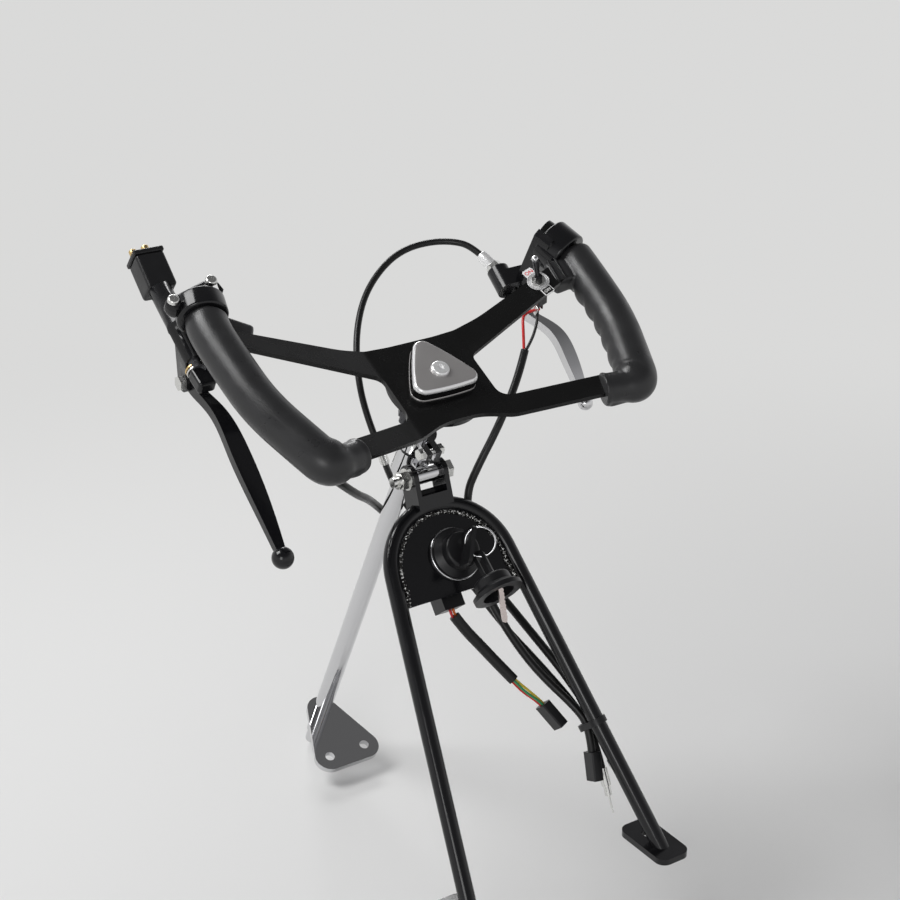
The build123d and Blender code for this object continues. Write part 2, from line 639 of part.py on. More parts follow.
tube_lines, tube_bores = {}, {}
for side, sign in SIDES:
    route, bends = TUBE_ROUTES[side]
    with BuildPart() as tube:
        with BuildLine() as tube_line:
            FilletPolyline(*route, radius=list(bends))
        MOUTH = Plane(origin=tube_line.line @ 0, z_dir=tube_line.line % 0)
        with BuildSketch(MOUTH):
            Circle(TUBE_DIAMETER / 2)
        sweep(path=tube_line.line)
        add(yoke_plate.part, mode=Mode.SUBTRACT)
    save(tube, f"grip_tube_{side}")
    tube_lines[side] = tube_line.line

    with BuildPart() as tube_bore:
        with BuildSketch(MOUTH):
            Circle(TUBE_DIAMETER / 2 + SEAT)
        sweep(path=tube_line.line)
    tube_bores[side] = tube_bore.part

    boss_out = wheel_direction(sign, 0, DISH_SLOPE)
    BOSS = plane_along(on_wheel(sign * BOSS_CENTRE[0], *BOSS_CENTRE[1:]), boss_out, column_front)
    grip_end = tube_line.line @ GRIP_SHARE[side]
    GRIP_TOP = Plane(origin=grip_end, z_dir=tube_line.line % GRIP_SHARE[side])
    with BuildPart() as grip:
        with BuildSketch(MOUTH):
            Circle(GRIP_DIAMETER / 2)
        sweep(path=tube_line.line)
        split(bisect_by=GRIP_TOP, keep=Keep.BOTTOM)
        fillet(grip.faces().sort_by_distance(grip_end)[0].edges(), 2)
        with BuildSketch(MOUTH):
            Circle(GRIP_LIP[0] / 2)
        extrude(amount=GRIP_LIP[1])
        with BuildSketch(BOSS):
            RectangleRounded(BOSS_SIZE[1], BOSS_SIZE[2], 4)
        extrude(amount=BOSS_SIZE[0])
        for height in GROOVE_PLACES:
            share = (height - GRIP_LOWER_BEND[1]) / (GRIP_UPPER_BEND[1] - GRIP_LOWER_BEND[1])
            if share < 0:
                share = (height - ELBOW_CORNER[1]) / (GRIP_LOWER_BEND[1] - ELBOW_CORNER[1])
                start, end = Vector(*ELBOW_CORNER), Vector(*GRIP_LOWER_BEND)
            else:
                start, end = Vector(*GRIP_LOWER_BEND), Vector(*GRIP_UPPER_BEND)
            middle = start + (end - start) * share
            along = (end - start).normalized()
            turn = radians(GROOVE_TURN)
            inward = Vector(-cos(turn), 0, -sin(turn))
            out = GRIP_DIAMETER / 2 + GROOVE_RADIUS - GROOVE_DEPTH
            centre = middle + inward * out
            cut_axis = along.cross(inward).normalized()
            CUTTER = Plane(
                origin=on_wheel(sign * centre.X, centre.Y, centre.Z),
                z_dir=wheel_direction(sign * cut_axis.X, cut_axis.Y, cut_axis.Z),
            )
            with BuildSketch(CUTTER):
                Circle(GROOVE_RADIUS)
            extrude(amount=GRIP_DIAMETER, both=True, mode=Mode.SUBTRACT)
        add(tube_bores[side], mode=Mode.SUBTRACT)
        add(yoke_plate.part, mode=Mode.SUBTRACT)
    save(grip, f"grip_{side}")

# Lever hinges: the axis is such that a positive turn lifts the ball towards the driver
HINGE = {}
for side, sign in SIDES:
    pivot, ball = on_wheel(*LEVER_PIVOT[side]), on_wheel(*LEVER_BALL[side])
    reach = (ball - pivot).normalized()
    lift = (column_up - reach * column_up.dot(reach)).normalized()
    HINGE[side] = Plane(origin=pivot, x_dir=reach, z_dir=reach.cross(lift))


def barrel_plane(foot, head):
    start, end = on_wheel(*foot), on_wheel(*head)
    return Plane(origin=start, z_dir=(end - start).normalized()), (end - start).length


def seen_from(plane, point):
    place = plane.to_local_coords(point)
    return (place.X, place.Y)


MASTER, master_length = barrel_plane(MASTER_FOOT, MASTER_TOP)
HOUSING, housing_length = barrel_plane(HOUSING_FOOT, HOUSING_HEAD)
perch = on_wheel(*PERCH_CENTRE)
# Bodies of the two controls: plane, circles of the section (centre, radius), length
CONTROL_BODIES = {
    "left": ((MASTER, (((0, 0), MASTER_DIAMETER / 2),), master_length),),
    "right": (
        (HOUSING, (((0, 0), HOUSING_DIAMETER / 2),), housing_length),
        (
            HOUSING,
            (((0, 0), HOUSING_DIAMETER / 2), (seen_from(HOUSING, perch), PERCH_DIAMETER / 2)),
            housing_length - 6,
        ),
    ),
}
WEB_ENDS = {
    "left": (MASTER.origin + MASTER.z_dir * 31, MASTER_DIAMETER / 2),
    "right": (perch, PERCH_DIAMETER / 2),
}
EAR_ROOTS = {"left": on_wheel(-157.5, 90.0, -6.0), "right": on_wheel(132.0, 88.0, -15.0)}
BOLT_PLACES = ((-CLAMP_BOLT_SPACING / 2, 0), (CLAMP_BOLT_SPACING / 2, 0))
ear_half = LEVER_HUB[0] / 2 + EAR_GAP
beyond = 5 * CLAMP_DIAMETER

# Clamps in two halves; the rear half is one casting with the body and the lever's ears
rear_halves = {}
for side, sign in SIDES:
    line = tube_lines[side]
    split_way = wheel_direction(*CLAMP_SPLIT[side])
    CLAMP = plane_along(line @ CLAMP_SHARE[side], line % CLAMP_SHARE[side], split_way)
    HEADS = Plane(origin=CLAMP.origin + CLAMP.y_dir * CLAMP_LUG[1] / 2, x_dir=CLAMP.x_dir, z_dir=CLAMP.y_dir)
    with BuildPart() as clamp_cap:
        with BuildSketch(CLAMP):
            Circle(CLAMP_DIAMETER / 2)
            Rectangle(*CLAMP_LUG)
            with Locations((0, CLAMP_GAP / 2)):
                Rectangle(beyond, beyond, align=(Align.CENTER, Align.MAX), mode=Mode.SUBTRACT)
        extrude(amount=CLAMP_WIDTH / 2, both=True)
        add(tube_bores[side], mode=Mode.SUBTRACT)
        with BuildSketch(HEADS):
            with Locations(*BOLT_PLACES):
                Circle(CLAMP_BOLT[0] / 2 + SLIP)
        extrude(amount=-CLAMP_LUG[1], mode=Mode.SUBTRACT)
        with BuildSketch(HEADS):
            with Locations(*BOLT_PLACES):
                Circle(CLAMP_BOLT_HEAD[0] / 2 + SLIP)
        extrude(amount=CLAMP_DIAMETER, mode=Mode.SUBTRACT)
    save(clamp_cap, f"{side}_clamp_cap")

    with BuildPart() as clamp_bolts:
        with BuildSketch(HEADS):
            with Locations(*BOLT_PLACES):
                Circle(CLAMP_BOLT_HEAD[0] / 2)
        extrude(amount=CLAMP_BOLT_HEAD[1])
        with BuildSketch(HEADS.offset(CLAMP_BOLT_HEAD[1])):
            with Locations(*BOLT_PLACES):
                RegularPolygon(regular_hexagon(4), 6)
        extrude(amount=-2.4, mode=Mode.SUBTRACT)
        with BuildSketch(HEADS):
            with Locations(*BOLT_PLACES):
                Circle(CLAMP_BOLT[0] / 2)
        extrude(amount=-CLAMP_BOLT[1])
    save(clamp_bolts, f"{side}_clamp_bolts")

    hinge = HINGE[side]
    web_end, web_radius = WEB_ENDS[side]
    with BuildPart() as clamp_rear:
        with BuildSketch(CLAMP):
            Circle(CLAMP_DIAMETER / 2)
            Rectangle(*CLAMP_LUG)
            with Locations(seen_from(CLAMP, web_end)):
                Circle(web_radius)
            make_hull()
            with Locations((0, -CLAMP_GAP / 2)):
                Rectangle(beyond, beyond, align=(Align.CENTER, Align.MIN), mode=Mode.SUBTRACT)
        extrude(amount=CLAMP_WIDTH / 2, both=True)
        for start, way in ((ear_half, 1), (-ear_half, -1)):
            with BuildSketch(hinge.offset(start)):
                Circle(LEVER_HUB[1])
                with Locations(seen_from(hinge, EAR_ROOTS[side])):
                    Circle(EAR_FOOT_RADIUS)
                make_hull()
                Circle(PIVOT_BOLT / 2 + SEAT, mode=Mode.SUBTRACT)
            extrude(amount=way * EAR_WALL)
        for section_plane, circles, length in CONTROL_BODIES[side]:
            with BuildSketch(section_plane):
                for centre, radius in circles:
                    with Locations(centre):
                        Circle(radius)
                if len(circles) > 1:
                    make_hull()
            extrude(amount=length)
        add(tube_bores[side], mode=Mode.SUBTRACT)
        with BuildSketch(HEADS):
            with Locations(*BOLT_PLACES):
                Circle(CLAMP_BOLT[0] / 2 + SEAT)
        extrude(amount=-CLAMP_BOLT[1] - SEAT, mode=Mode.SUBTRACT)
        if side == "left":
            with BuildSketch(MASTER):
                Circle(BANJO_BOLT[0] / 2)
            extrude(amount=BANJO_BOLT[1], mode=Mode.SUBTRACT)
    rear_halves[side] = clamp_rear.part
    save(clamp_rear, f"{side}_clamp")

# Banjo: hollow bolt with its ring, two copper washers' width, and the stem for the hose
stem_way = wheel_direction(*BANJO_DIRECTION)
stem_way = (stem_way - MASTER.z_dir * stem_way.dot(MASTER.z_dir)).normalized()
hose_way = wheel_direction(*HOSE_WAY)
ring_middle = MASTER.origin - MASTER.z_dir * (1.2 + BANJO_RING[1] / 2)
with BuildPart() as banjo:
    with BuildSketch(MASTER):
        Circle(BANJO_BOLT[0] / 2 - SEAT)
    extrude(amount=BANJO_BOLT[1] - 2)
    with BuildSketch(MASTER):
        Circle(BANJO_RING[0] / 2)
    extrude(amount=-BANJO_RING[1] - 2.4)
    with BuildSketch(MASTER.offset(-BANJO_RING[1] - 2.4)):
        RegularPolygon(regular_hexagon(10), 6)
    extrude(amount=-5)
    with BuildSketch(Plane(origin=ring_middle, z_dir=stem_way)):
        Circle(BANJO_STEM[0] / 2)
    extrude(amount=BANJO_STEM[1])
    with BuildSketch(Plane(origin=ring_middle + stem_way * BANJO_STEM[1], z_dir=hose_way)):
        Circle(BANJO_SLEEVE[0] / 2)
    extrude(amount=BANJO_SLEEVE[1])
    with Locations(ring_middle + stem_way * BANJO_STEM[1]):
        Sphere(BANJO_SLEEVE[0] / 2)
    add(rear_halves["left"], mode=Mode.SUBTRACT)
save(banjo, "banjo")
banjo_tip = ring_middle + stem_way * BANJO_STEM[1] + hose_way * BANJO_SLEEVE[1]

# Reservoir with its lid and two screws
RESERVOIR = plane_along(on_wheel(*RESERVOIR_CENTRE), wheel_direction(0.02, 0.97, 0.24), Vector(1, 0, 0))
with BuildPart() as reservoir:
    with BuildSketch(RESERVOIR):
        RectangleRounded(RESERVOIR_SIZE[0], RESERVOIR_SIZE[1], 3)
    extrude(amount=RESERVOIR_SIZE[2] / 2, both=True)
    add(rear_halves["left"], mode=Mode.SUBTRACT)
save(reservoir, "reservoir")

with BuildPart() as reservoir_lid:
    with BuildSketch(RESERVOIR.offset(RESERVOIR_SIZE[2] / 2)):
        RectangleRounded(RESERVOIR_SIZE[0] + 1, RESERVOIR_SIZE[1] + 1, 3.5)
    extrude(amount=LID_THICKNESS)
save(reservoir_lid, "reservoir_lid")

with BuildPart() as reservoir_screws:
    with BuildSketch(RESERVOIR.offset(RESERVOIR_SIZE[2] / 2 + LID_THICKNESS)):
        with Locations((-LID_SCREW_SPACING / 2, 0), (LID_SCREW_SPACING / 2, 0)):
            Circle(LID_SCREW[0] / 2)
    extrude(amount=LID_SCREW[1])
save(reservoir_screws, "reservoir_screws")

# Cable adjuster with its lock nut
ADJUSTER, adjuster_length = barrel_plane(HOUSING_HEAD, ADJUSTER_HEAD)
with BuildPart() as cable_adjuster:
    with BuildSketch(ADJUSTER.offset(1)):
        Circle(ADJUSTER_DIAMETER / 2)
    extrude(amount=adjuster_length - 1)
    with BuildSketch(ADJUSTER.offset(2)):
        RegularPolygon(regular_hexagon(ADJUSTER_NUT[0]), 6)
    extrude(amount=ADJUSTER_NUT[1])
    add(rear_halves["right"], mode=Mode.SUBTRACT)
save(cable_adjuster, "cable_adjuster")
adjuster_tip = ADJUSTER.origin + ADJUSTER.z_dir * adjuster_length

# Levers with their pivot bolts
for side, sign in SIDES:
    hinge = HINGE[side]
    span = (on_wheel(*LEVER_BALL[side]) - on_wheel(*LEVER_PIVOT[side])).length
    blade = BLADES[side]
    FLAT = Plane(origin=hinge.origin, x_dir=hinge.x_dir, z_dir=hinge.y_dir)
    with BuildPart() as lever:
        with BuildSketch(FLAT):
            with BuildLine():
                near = Spline(*[(span * share, shift + half) for share, shift, half, up, thick in blade])
                far = Spline(*[(span * share, shift - half) for share, shift, half, up, thick in blade])
                Line(near @ 0, far @ 0)
                Line(near @ 1, far @ 1)
            make_face()
        extrude(amount=40, both=True)
        with BuildSketch(hinge):
            with BuildLine():
                above = Spline(*[(span * share, up + thick) for share, shift, half, up, thick in blade])
                below = Spline(*[(span * share, up - thick) for share, shift, half, up, thick in blade])
                Line(above @ 0, below @ 0)
                Line(above @ 1, below @ 1)
            make_face()
        extrude(amount=30, both=True, mode=Mode.INTERSECT)
        with BuildSketch(hinge):
            Circle(LEVER_HUB[1])
        extrude(amount=LEVER_HUB[0] / 2, both=True)
        BALL = Plane(origin=on_wheel(*LEVER_BALL[side]), x_dir=hinge.x_dir, z_dir=hinge.z_dir)
        with BuildSketch(BALL):
            with BuildLine():
                CenterArc((0, 0), LEVER_BALL_SIZE[side], 0, 180)
                Line((-LEVER_BALL_SIZE[side], 0), (LEVER_BALL_SIZE[side], 0))
            make_face()
        revolve(axis=Axis(BALL.origin, hinge.x_dir))
        with BuildSketch(hinge):
            Circle(PIVOT_BOLT / 2 + RUNNING)
        extrude(amount=LEVER_HUB[0], both=True, mode=Mode.SUBTRACT)
    save(lever, f"{side}_lever")

    outer = ear_half + EAR_WALL
    with BuildPart() as pivot_bolt:
        with BuildSketch(hinge.offset(outer)):
            RegularPolygon(regular_hexagon(PIVOT_HEAD[0]), 6)
        extrude(amount=PIVOT_HEAD[1])
        with BuildSketch(hinge.offset(outer)):
            Circle(PIVOT_BOLT / 2)
        extrude(amount=-2 * outer - 2)
        with BuildSketch(hinge.offset(-outer)):
            RegularPolygon(regular_hexagon(PIVOT_HEAD[0]), 6)
        extrude(amount=-PIVOT_HEAD[1])
    save(pivot_bolt, f"{side}_pivot_bolt")

# Toggle switch
with BuildPart() as switch_plate:
    with BuildSketch(SWITCH):
        RectangleRounded(SWITCH_LABEL[0], SWITCH_LABEL[1], 1.5)
        Circle(SWITCH_DISC / 2)
        Circle(bush_hole + SEAT, mode=Mode.SUBTRACT)
    extrude(amount=SWITCH_LABEL[2])
save(switch_plate, "switch_plate")

with BuildPart() as switch_nut:
    with BuildSketch(SWITCH.offset(SWITCH_LABEL[2])):
        RegularPolygon(regular_hexagon(SWITCH_NUT[0]), 6)
        Circle(bush_hole + SEAT, mode=Mode.SUBTRACT)
    extrude(amount=SWITCH_NUT[1])
save(switch_nut, "switch_nut")

with BuildPart() as switch_body:
    with BuildSketch(SWITCH.offset(-PLATE_THICKNESS)):
        RectangleRounded(SWITCH_BODY[0], SWITCH_BODY[1], 0.8)
    extrude(amount=-SWITCH_BODY[2])
    with BuildSketch(SWITCH.offset(-PLATE_THICKNESS)):
        Circle(bush_hole)
    extrude(amount=PLATE_THICKNESS + SWITCH_BUSH[1])
    with BuildSketch(SWITCH.offset(-PLATE_THICKNESS - SWITCH_BODY[2])):
        with Locations((0, 0), (0, -4.6), (0, 4.6)):
            Rectangle(SWITCH_TERMINAL[0], SWITCH_TERMINAL[1])
    extrude(amount=-SWITCH_TERMINAL[2])
save(switch_body, "switch_body")

lean = radians(SWITCH_BAT_LEAN)
bat_way = (SWITCH.z_dir * cos(lean) + SWITCH.y_dir * sin(lean)).normalized()
with BuildPart() as switch_bat:
    BAT = Plane(origin=SWITCH.origin + SWITCH.z_dir * SWITCH_BUSH[1], z_dir=bat_way)
    with BuildSketch(BAT):
        Circle(SWITCH_BAT[0] / 2)
    extrude(amount=SWITCH_BAT[1])
    add(switch_body.part, mode=Mode.SUBTRACT)
save(switch_bat, "switch_bat")

# Ignition switch: barrel and block behind the plate, bezel in front
with BuildPart() as ignition_body:
    with BuildSketch(HOOP.offset(GUSSET_THICKNESS / 2)):
        with Locations(IGNITION_PLACE):
            Circle(IGNITION_BARREL[0] / 2)
    extrude(amount=-IGNITION_BARREL[1] - GUSSET_THICKNESS)
    with BuildSketch(HOOP.offset(IGNITION_BLOCK_Z[1])):
        block_x, block_y = sum(IGNITION_BLOCK_X) / 2, sum(IGNITION_BLOCK_Y) / 2
        with Locations((block_x, block_y)):
            Rectangle(IGNITION_BLOCK_X[1] - IGNITION_BLOCK_X[0], IGNITION_BLOCK_Y[1] - IGNITION_BLOCK_Y[0])
    extrude(amount=IGNITION_BLOCK_Z[0] - IGNITION_BLOCK_Z[1])
save(ignition_body, "ignition_body")

with BuildPart() as ignition_bezel:
    with BuildSketch(HOOP.offset(GUSSET_THICKNESS / 2)):
        with Locations(IGNITION_PLACE):
            Circle(BEZEL[0] / 2)
    extrude(amount=BEZEL[1])
    with BuildSketch(HOOP.offset(GUSSET_THICKNESS / 2 + BEZEL[1])):
        with Locations(IGNITION_PLACE):
            Circle(LOCK_CYLINDER[0] / 2)
    extrude(amount=LOCK_CYLINDER[1])
save(ignition_bezel, "ignition_bezel")


def hoop_direction(x, y, z):
    return (on_hoop(x, y, z) - on_hoop(0, 0, 0)).normalized()


# Key ring, and the room it needs in the keys' tabs
ring_normal = hoop_direction(*RING_NORMAL)
RING_PLANE = plane_along(on_hoop(*RING_CENTRE), ring_normal, Vector(1, 0, 0))
WIRE_PLANE = Plane(
    origin=RING_PLANE.origin + RING_PLANE.x_dir * RING[0], x_dir=RING_PLANE.x_dir, z_dir=RING_PLANE.y_dir
)
rings = {}
for name, wire in (("key_ring", RING[1]), ("room", RING_ROOM)):
    with BuildPart() as ring:
        with BuildSketch(WIRE_PLANE):
            Circle(wire)
        revolve(axis=Axis(RING_PLANE.origin, RING_PLANE.z_dir))
    rings[name] = ring
save(rings["key_ring"], "key_ring")

# Keys: cup, stem and tab in one moulding
for name, key in KEYS.items():
    axis = hoop_direction(*key["axis"])
    KEY = plane_along(on_hoop(*key["rim"]), axis, hoop_direction(*key["across"]))
    SIDE = Plane(origin=KEY.origin, x_dir=KEY.x_dir, z_dir=-KEY.y_dir)
    tab_width, tab_thickness, tab_top = key["tab"]
    shift, low, high, slot_width = key["slot"]
    stem_top = KEY_PROFILE[-1][1]
    with BuildPart() as key_head:
        with BuildSketch(SIDE):
            with BuildLine():
                Polyline((0, 0), *KEY_PROFILE, (0, stem_top), close=True)
            make_face()
        revolve(axis=Axis(KEY.origin, axis))
        fillet(key_head.faces().sort_by(Axis(KEY.origin, axis))[-1].edges(), KEY_ROUNDING)
        with BuildSketch(SIDE):
            with Locations((0, stem_top - 1)):
                Rectangle(tab_width, tab_top - stem_top + 1, align=(Align.CENTER, Align.MIN))
        extrude(amount=tab_thickness / 2, both=True)
        across_tab = key_head.edges().filter_by(Axis(KEY.origin, KEY.y_dir))
        tab_corners = across_tab.sort_by(Axis(KEY.origin, axis))[-2:]
        fillet(tab_corners, KEY_TAB_ROUNDING)
        with BuildSketch(SIDE):
            with Locations((shift, (low + high) / 2)):
                SlotOverall(high - low + slot_width, slot_width, rotation=90)
        extrude(amount=tab_thickness, both=True, mode=Mode.SUBTRACT)
        add(rings["room"].part, mode=Mode.SUBTRACT)
        with BuildSketch(KEY):
            Circle(KEY_HOLLOW[0])
        extrude(amount=KEY_HOLLOW[1], mode=Mode.SUBTRACT)
    save(key_head, name)
    if name == "spare_key":
        with BuildPart() as spare_blade:
            with BuildSketch(SIDE):
                with Locations((0, KEY_HOLLOW[1])):
                    Rectangle(KEY_BLADE[0], KEY_HOLLOW[1] + KEY_BLADE[2], align=(Align.CENTER, Align.MAX))
            extrude(amount=KEY_BLADE[1] / 2, both=True)
        save(spare_blade, "spare_blade")

# Cords: name, diameter, points in the wheel's axes, then points in the hoop's axes
CORDS = (
    (
        "brake_hose",
        HOSE_DIAMETER,
        (
            (-120.6, 22.0, -34.0),
            (-104.0, -5.0, -45.0),
            (-78.0, -15.0, -68.0),
            (-48.0, -11.0, -101.0),
            (-22.0, 4.0, -132.0),
            (2.0, 14.0, -163.0),
        ),
        (
            (30.0, 46.0, -98.0),
            (52.0, 18.0, -74.0),
            (56.0, -20.0, -46.0),
            (60.0, -58.0, -28.0),
            (68.0, -96.0, -16.0),
            (73.5, -129.5, -9.2),
            (76.3, -150.0, -9.2),
            (82.5, -170.0, -13.5),
        ),
    ),
    (
        "brake_cable",
        CABLE_DIAMETER,
        (
            (105.0, 141.2, -17.0),
            (90.5, 149.8, -21.5),
            (71.0, 153.2, -26.5),
            (52.0, 149.5, -33.0),
            (29.0, 135.5, -41.0),
            (11.0, 116.0, -49.0),
            (-4.0, 90.0, -58.0),
            (-13.0, 62.0, -70.0),
            (-15.0, 38.0, -82.0),
            (-10.5, 17.0, -99.0),
            (0.0, 14.0, -122.0),
            (13.0, 7.0, -146.0),
        ),
        (
            (26.0, 30.0, -60.0),
            (33.0, -6.0, -42.0),
            (42.0, -46.0, -34.0),
            (57.0, -88.0, -24.0),
            (69.8, -130.0, -14.4),
            (73.0, -154.0, -14.4),
            (73.5, -176.0, -20.0),
        ),
    ),
    (
        "switch_lead",
        SLEEVE_DIAMETER,
        (
            (101.2, 22.4, -22.0),
            (93.6, 12.5, -32.0),
            (80.0, -1.5, -45.0),
            (64.0, -15.0, -64.0),
            (48.5, -25.5, -84.0),
            (37.6, -34.1, -108.0),
        ),
        (
            (32.0, 10.0, -18.0),
            (29.0, -22.0, -17.0),
            (37.0, -58.0, -19.0),
            (49.0, -92.0, -19.0),
            (66.0, -130.5, -9.2),
            (68.0, -146.0, -9.2),
            (66.0, -162.0, -13.5),
        ),
    ),
    (
        "ignition_lead",
        LEAD_DIAMETER,
        (),
        (
            (-1.0, -31.0, -22.0),
            (4.5, -43.0, -24.0),
            (12.5, -57.0, -25.0),
            (21.0, -74.0, -25.0),
            (30.0, -91.0, -25.0),
        ),
    ),
)
# Thin wires of the two leads: node, then each wire's points, in the wheel's or the hoop's axes
WIRES = {
    "switch_wires": (
        on_wheel,
        (
            (
                (122.3, 43.3, -3.5),
                (116.0, 47.0, -8.0),
                (108.5, 44.5, -9.0),
                (104.0, 34.0, -13.0),
                (100.5, 23.2, -21.5),
            ),
            (
                (122.6, 47.5, -3.5),
                (121.0, 41.0, -9.5),
                (115.0, 33.0, -13.5),
                (108.5, 26.5, -17.5),
                (102.2, 22.0, -21.4),
            ),
        ),
    ),
    "ignition_wires": (
        on_hoop,
        (
            (
                (-3.4, -26.3, -21.0),
                (-3.4, -27.7, -21.0),
                (-3.1, -30.0, -21.7),
                (-2.4, -31.5, -22.0),
            ),
            (
                (-0.6, -26.3, -21.0),
                (-0.6, -27.3, -21.0),
                (-0.4, -28.8, -21.7),
                (0.3, -30.2, -22.0),
            ),
            (
                (29.2, -91.7, -26.6),
                (30.6, -94.3, -26.6),
                (35.0, -101.5, -27.5),
                (44.3, -113.2, -26.5),
                (45.5, -115.9, -26.5),
            ),
            (
                (31.3, -90.5, -25.0),
                (32.7, -93.2, -25.0),
                (38.0, -101.0, -24.5),
                (46.1, -112.4, -25.0),
                (47.3, -115.1, -25.0),
            ),
            (
                (29.2, -91.7, -23.4),
                (30.6, -94.3, -23.4),
                (34.5, -103.0, -22.0),
                (44.3, -113.2, -23.5),
                (45.5, -115.9, -23.5),
            ),
        ),
    ),
}

def bend_radii(points, most):
    """Bend radius of each corner, as wide as the runs beside it allow."""
    found = []
    for before, corner, after in zip(points, points[1:], points[2:]):
        first, second = corner - before, after - corner
        half = radians(first.get_angle(second)) / 2
        room = BEND_SHARE * min(first.length, second.length)
        found.append(round(min(most, room / tan(half)), 1))
    return found


# The hose leaves the banjo's sleeve and the cable its adjuster, straight at first
STARTS = {
    "brake_hose": (banjo_tip, hose_way, 16.0),
    "brake_cable": (adjuster_tip, ADJUSTER.z_dir, 14.0),
}
cord_ends, cord_lines = {}, {}
for name, diameter, on_wheel_points, on_hoop_points in CORDS:
    points = [on_wheel(*p) for p in on_wheel_points] + [on_hoop(*p) for p in on_hoop_points]
    if name in STARTS:
        tip, way, straight = STARTS[name]
        points = [tip, tip + way * straight] + points
    bends = bend_radii(points, MOST_BEND)
    with BuildPart() as cord:
        with BuildLine() as cord_line:
            FilletPolyline(*points, radius=bends)
        with BuildSketch(Plane(origin=cord_line.line @ 0, z_dir=cord_line.line % 0)):
            Circle(diameter / 2)
        sweep(path=cord_line.line)
    length = sum(edge.length for edge in cord_line.edges())
    section = pi * diameter**2 / 4
    share = cord.part.volume / section / length
    print(name, "radii", bends, "length", round(length), "volume share", round(share, 3))
    cord_lines[name] = cord_line.line
    cord_ends[name] = Plane(origin=cord_line.line @ 1, x_dir=HOOP.x_dir, z_dir=cord_line.line % 1)
    save(cord, name)

for name, (place, wires) in WIRES.items():
    with BuildPart() as bundle:
        for wire_points in wires:
            points = [place(*p) for p in wire_points]
            with BuildLine() as wire_line:
                FilletPolyline(*points, radius=bend_radii(points, MOST_BEND))
            with BuildSketch(Plane(origin=wire_line.line @ 0, z_dir=wire_line.line % 0)):
                Circle(WIRE_DIAMETER / 2)
            sweep(path=wire_line.line)
    save(bundle, name)

# Plugs on the two leads
lead_way = hoop_direction(*PLUG_WAY)
PLUGS = {
    "switch_plug": Plane(
        origin=cord_ends["switch_lead"].origin, x_dir=HOOP.z_dir, z_dir=cord_ends["switch_lead"].z_dir
    ),
    "ignition_plug": Plane(origin=on_hoop(*PLUG_FACE), x_dir=HOOP.z_dir, z_dir=lead_way),
}
for name, start in PLUGS.items():
    with BuildPart() as plug:
        with BuildSketch(start):
            RectangleRounded(PLUG[0], PLUG[1], 1.2)
        extrude(amount=PLUG[2])
        with BuildSketch(start.offset(PLUG[2])):
            Rectangle(PLUG[0] - 2.4, PLUG[1] - 2.4)
        extrude(amount=-6, mode=Mode.SUBTRACT)
    save(plug, name)

# Clip round the right leg and the three cords
leg_middle = HOOP_RADIUS / cos(spread) - CLIP_HEIGHT * tan(spread)
leg_way = hoop_direction(sin(spread), -cos(spread), 0)
CLIP = plane_along(on_hoop(leg_middle, CLIP_HEIGHT, 0), leg_way, hoop_direction(cos(spread), sin(spread), 0))
with BuildPart() as cord_clip:
    for wall, mode in ((CLIP_THICKNESS, Mode.ADD), (0.0, Mode.SUBTRACT)):
        with BuildSketch(CLIP):
            Circle(HOOP_BAR / 2 + SEAT + wall)
            with Locations(CLIP_SHIFT):
                Circle(CLIP_BUNDLE + wall)
            make_hull()
        extrude(amount=CLIP_WIDTH / 2, both=True, mode=mode)
save(cord_clip, "cord_clip")

# Union at the foot of the hose, and the end of the cable with its bare inner wire
for name, start, steps in (
    ("hose_union", cord_ends["brake_hose"], UNION),
    ("cable_end", cord_ends["brake_cable"], CABLE_END),
):
    with BuildPart() as fitting:
        reached = 0.0
        for number, (size, length) in enumerate(steps):
            with BuildSketch(start.offset(reached)):
                if number == 0 and name == "hose_union":
                    RegularPolygon(regular_hexagon(size), 6)
                else:
                    Circle(size / 2)
            extrude(amount=length)
            reached += length
    save(fitting, name)
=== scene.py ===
"""Kart steering assembly: materials, grips, cords, welds and small trim over the frame's solids."""
import math
import random

import bmesh
import bpy
from mathutils import Matrix, Vector


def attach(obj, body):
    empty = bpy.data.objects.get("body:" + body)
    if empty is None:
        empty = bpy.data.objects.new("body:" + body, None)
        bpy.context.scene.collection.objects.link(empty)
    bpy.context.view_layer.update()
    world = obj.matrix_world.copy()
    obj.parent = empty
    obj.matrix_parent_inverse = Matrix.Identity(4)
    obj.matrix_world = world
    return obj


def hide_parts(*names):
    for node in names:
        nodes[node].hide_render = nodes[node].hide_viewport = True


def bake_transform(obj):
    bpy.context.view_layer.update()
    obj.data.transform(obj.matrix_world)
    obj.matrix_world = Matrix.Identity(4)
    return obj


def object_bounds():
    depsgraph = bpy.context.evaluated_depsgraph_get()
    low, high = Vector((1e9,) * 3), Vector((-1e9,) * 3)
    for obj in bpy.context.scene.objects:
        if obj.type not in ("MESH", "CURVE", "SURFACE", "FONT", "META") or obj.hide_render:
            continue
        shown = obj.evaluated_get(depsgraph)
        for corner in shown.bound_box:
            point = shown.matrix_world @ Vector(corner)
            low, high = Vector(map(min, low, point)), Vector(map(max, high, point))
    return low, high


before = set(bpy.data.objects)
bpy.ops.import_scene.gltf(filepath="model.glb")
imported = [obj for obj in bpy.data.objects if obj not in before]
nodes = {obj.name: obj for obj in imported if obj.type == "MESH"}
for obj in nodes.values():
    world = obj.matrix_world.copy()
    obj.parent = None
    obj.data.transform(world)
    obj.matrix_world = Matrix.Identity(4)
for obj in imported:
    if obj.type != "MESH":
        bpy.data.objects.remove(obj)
cad_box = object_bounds()
scene = bpy.context.scene
random.seed(7)

# Sizes and places are in millimetres, in the axes of the wheel or of the hoop, and MM makes them metres
MM = 0.001
ACROSS = Vector((1.0, 0.0, 0.0))
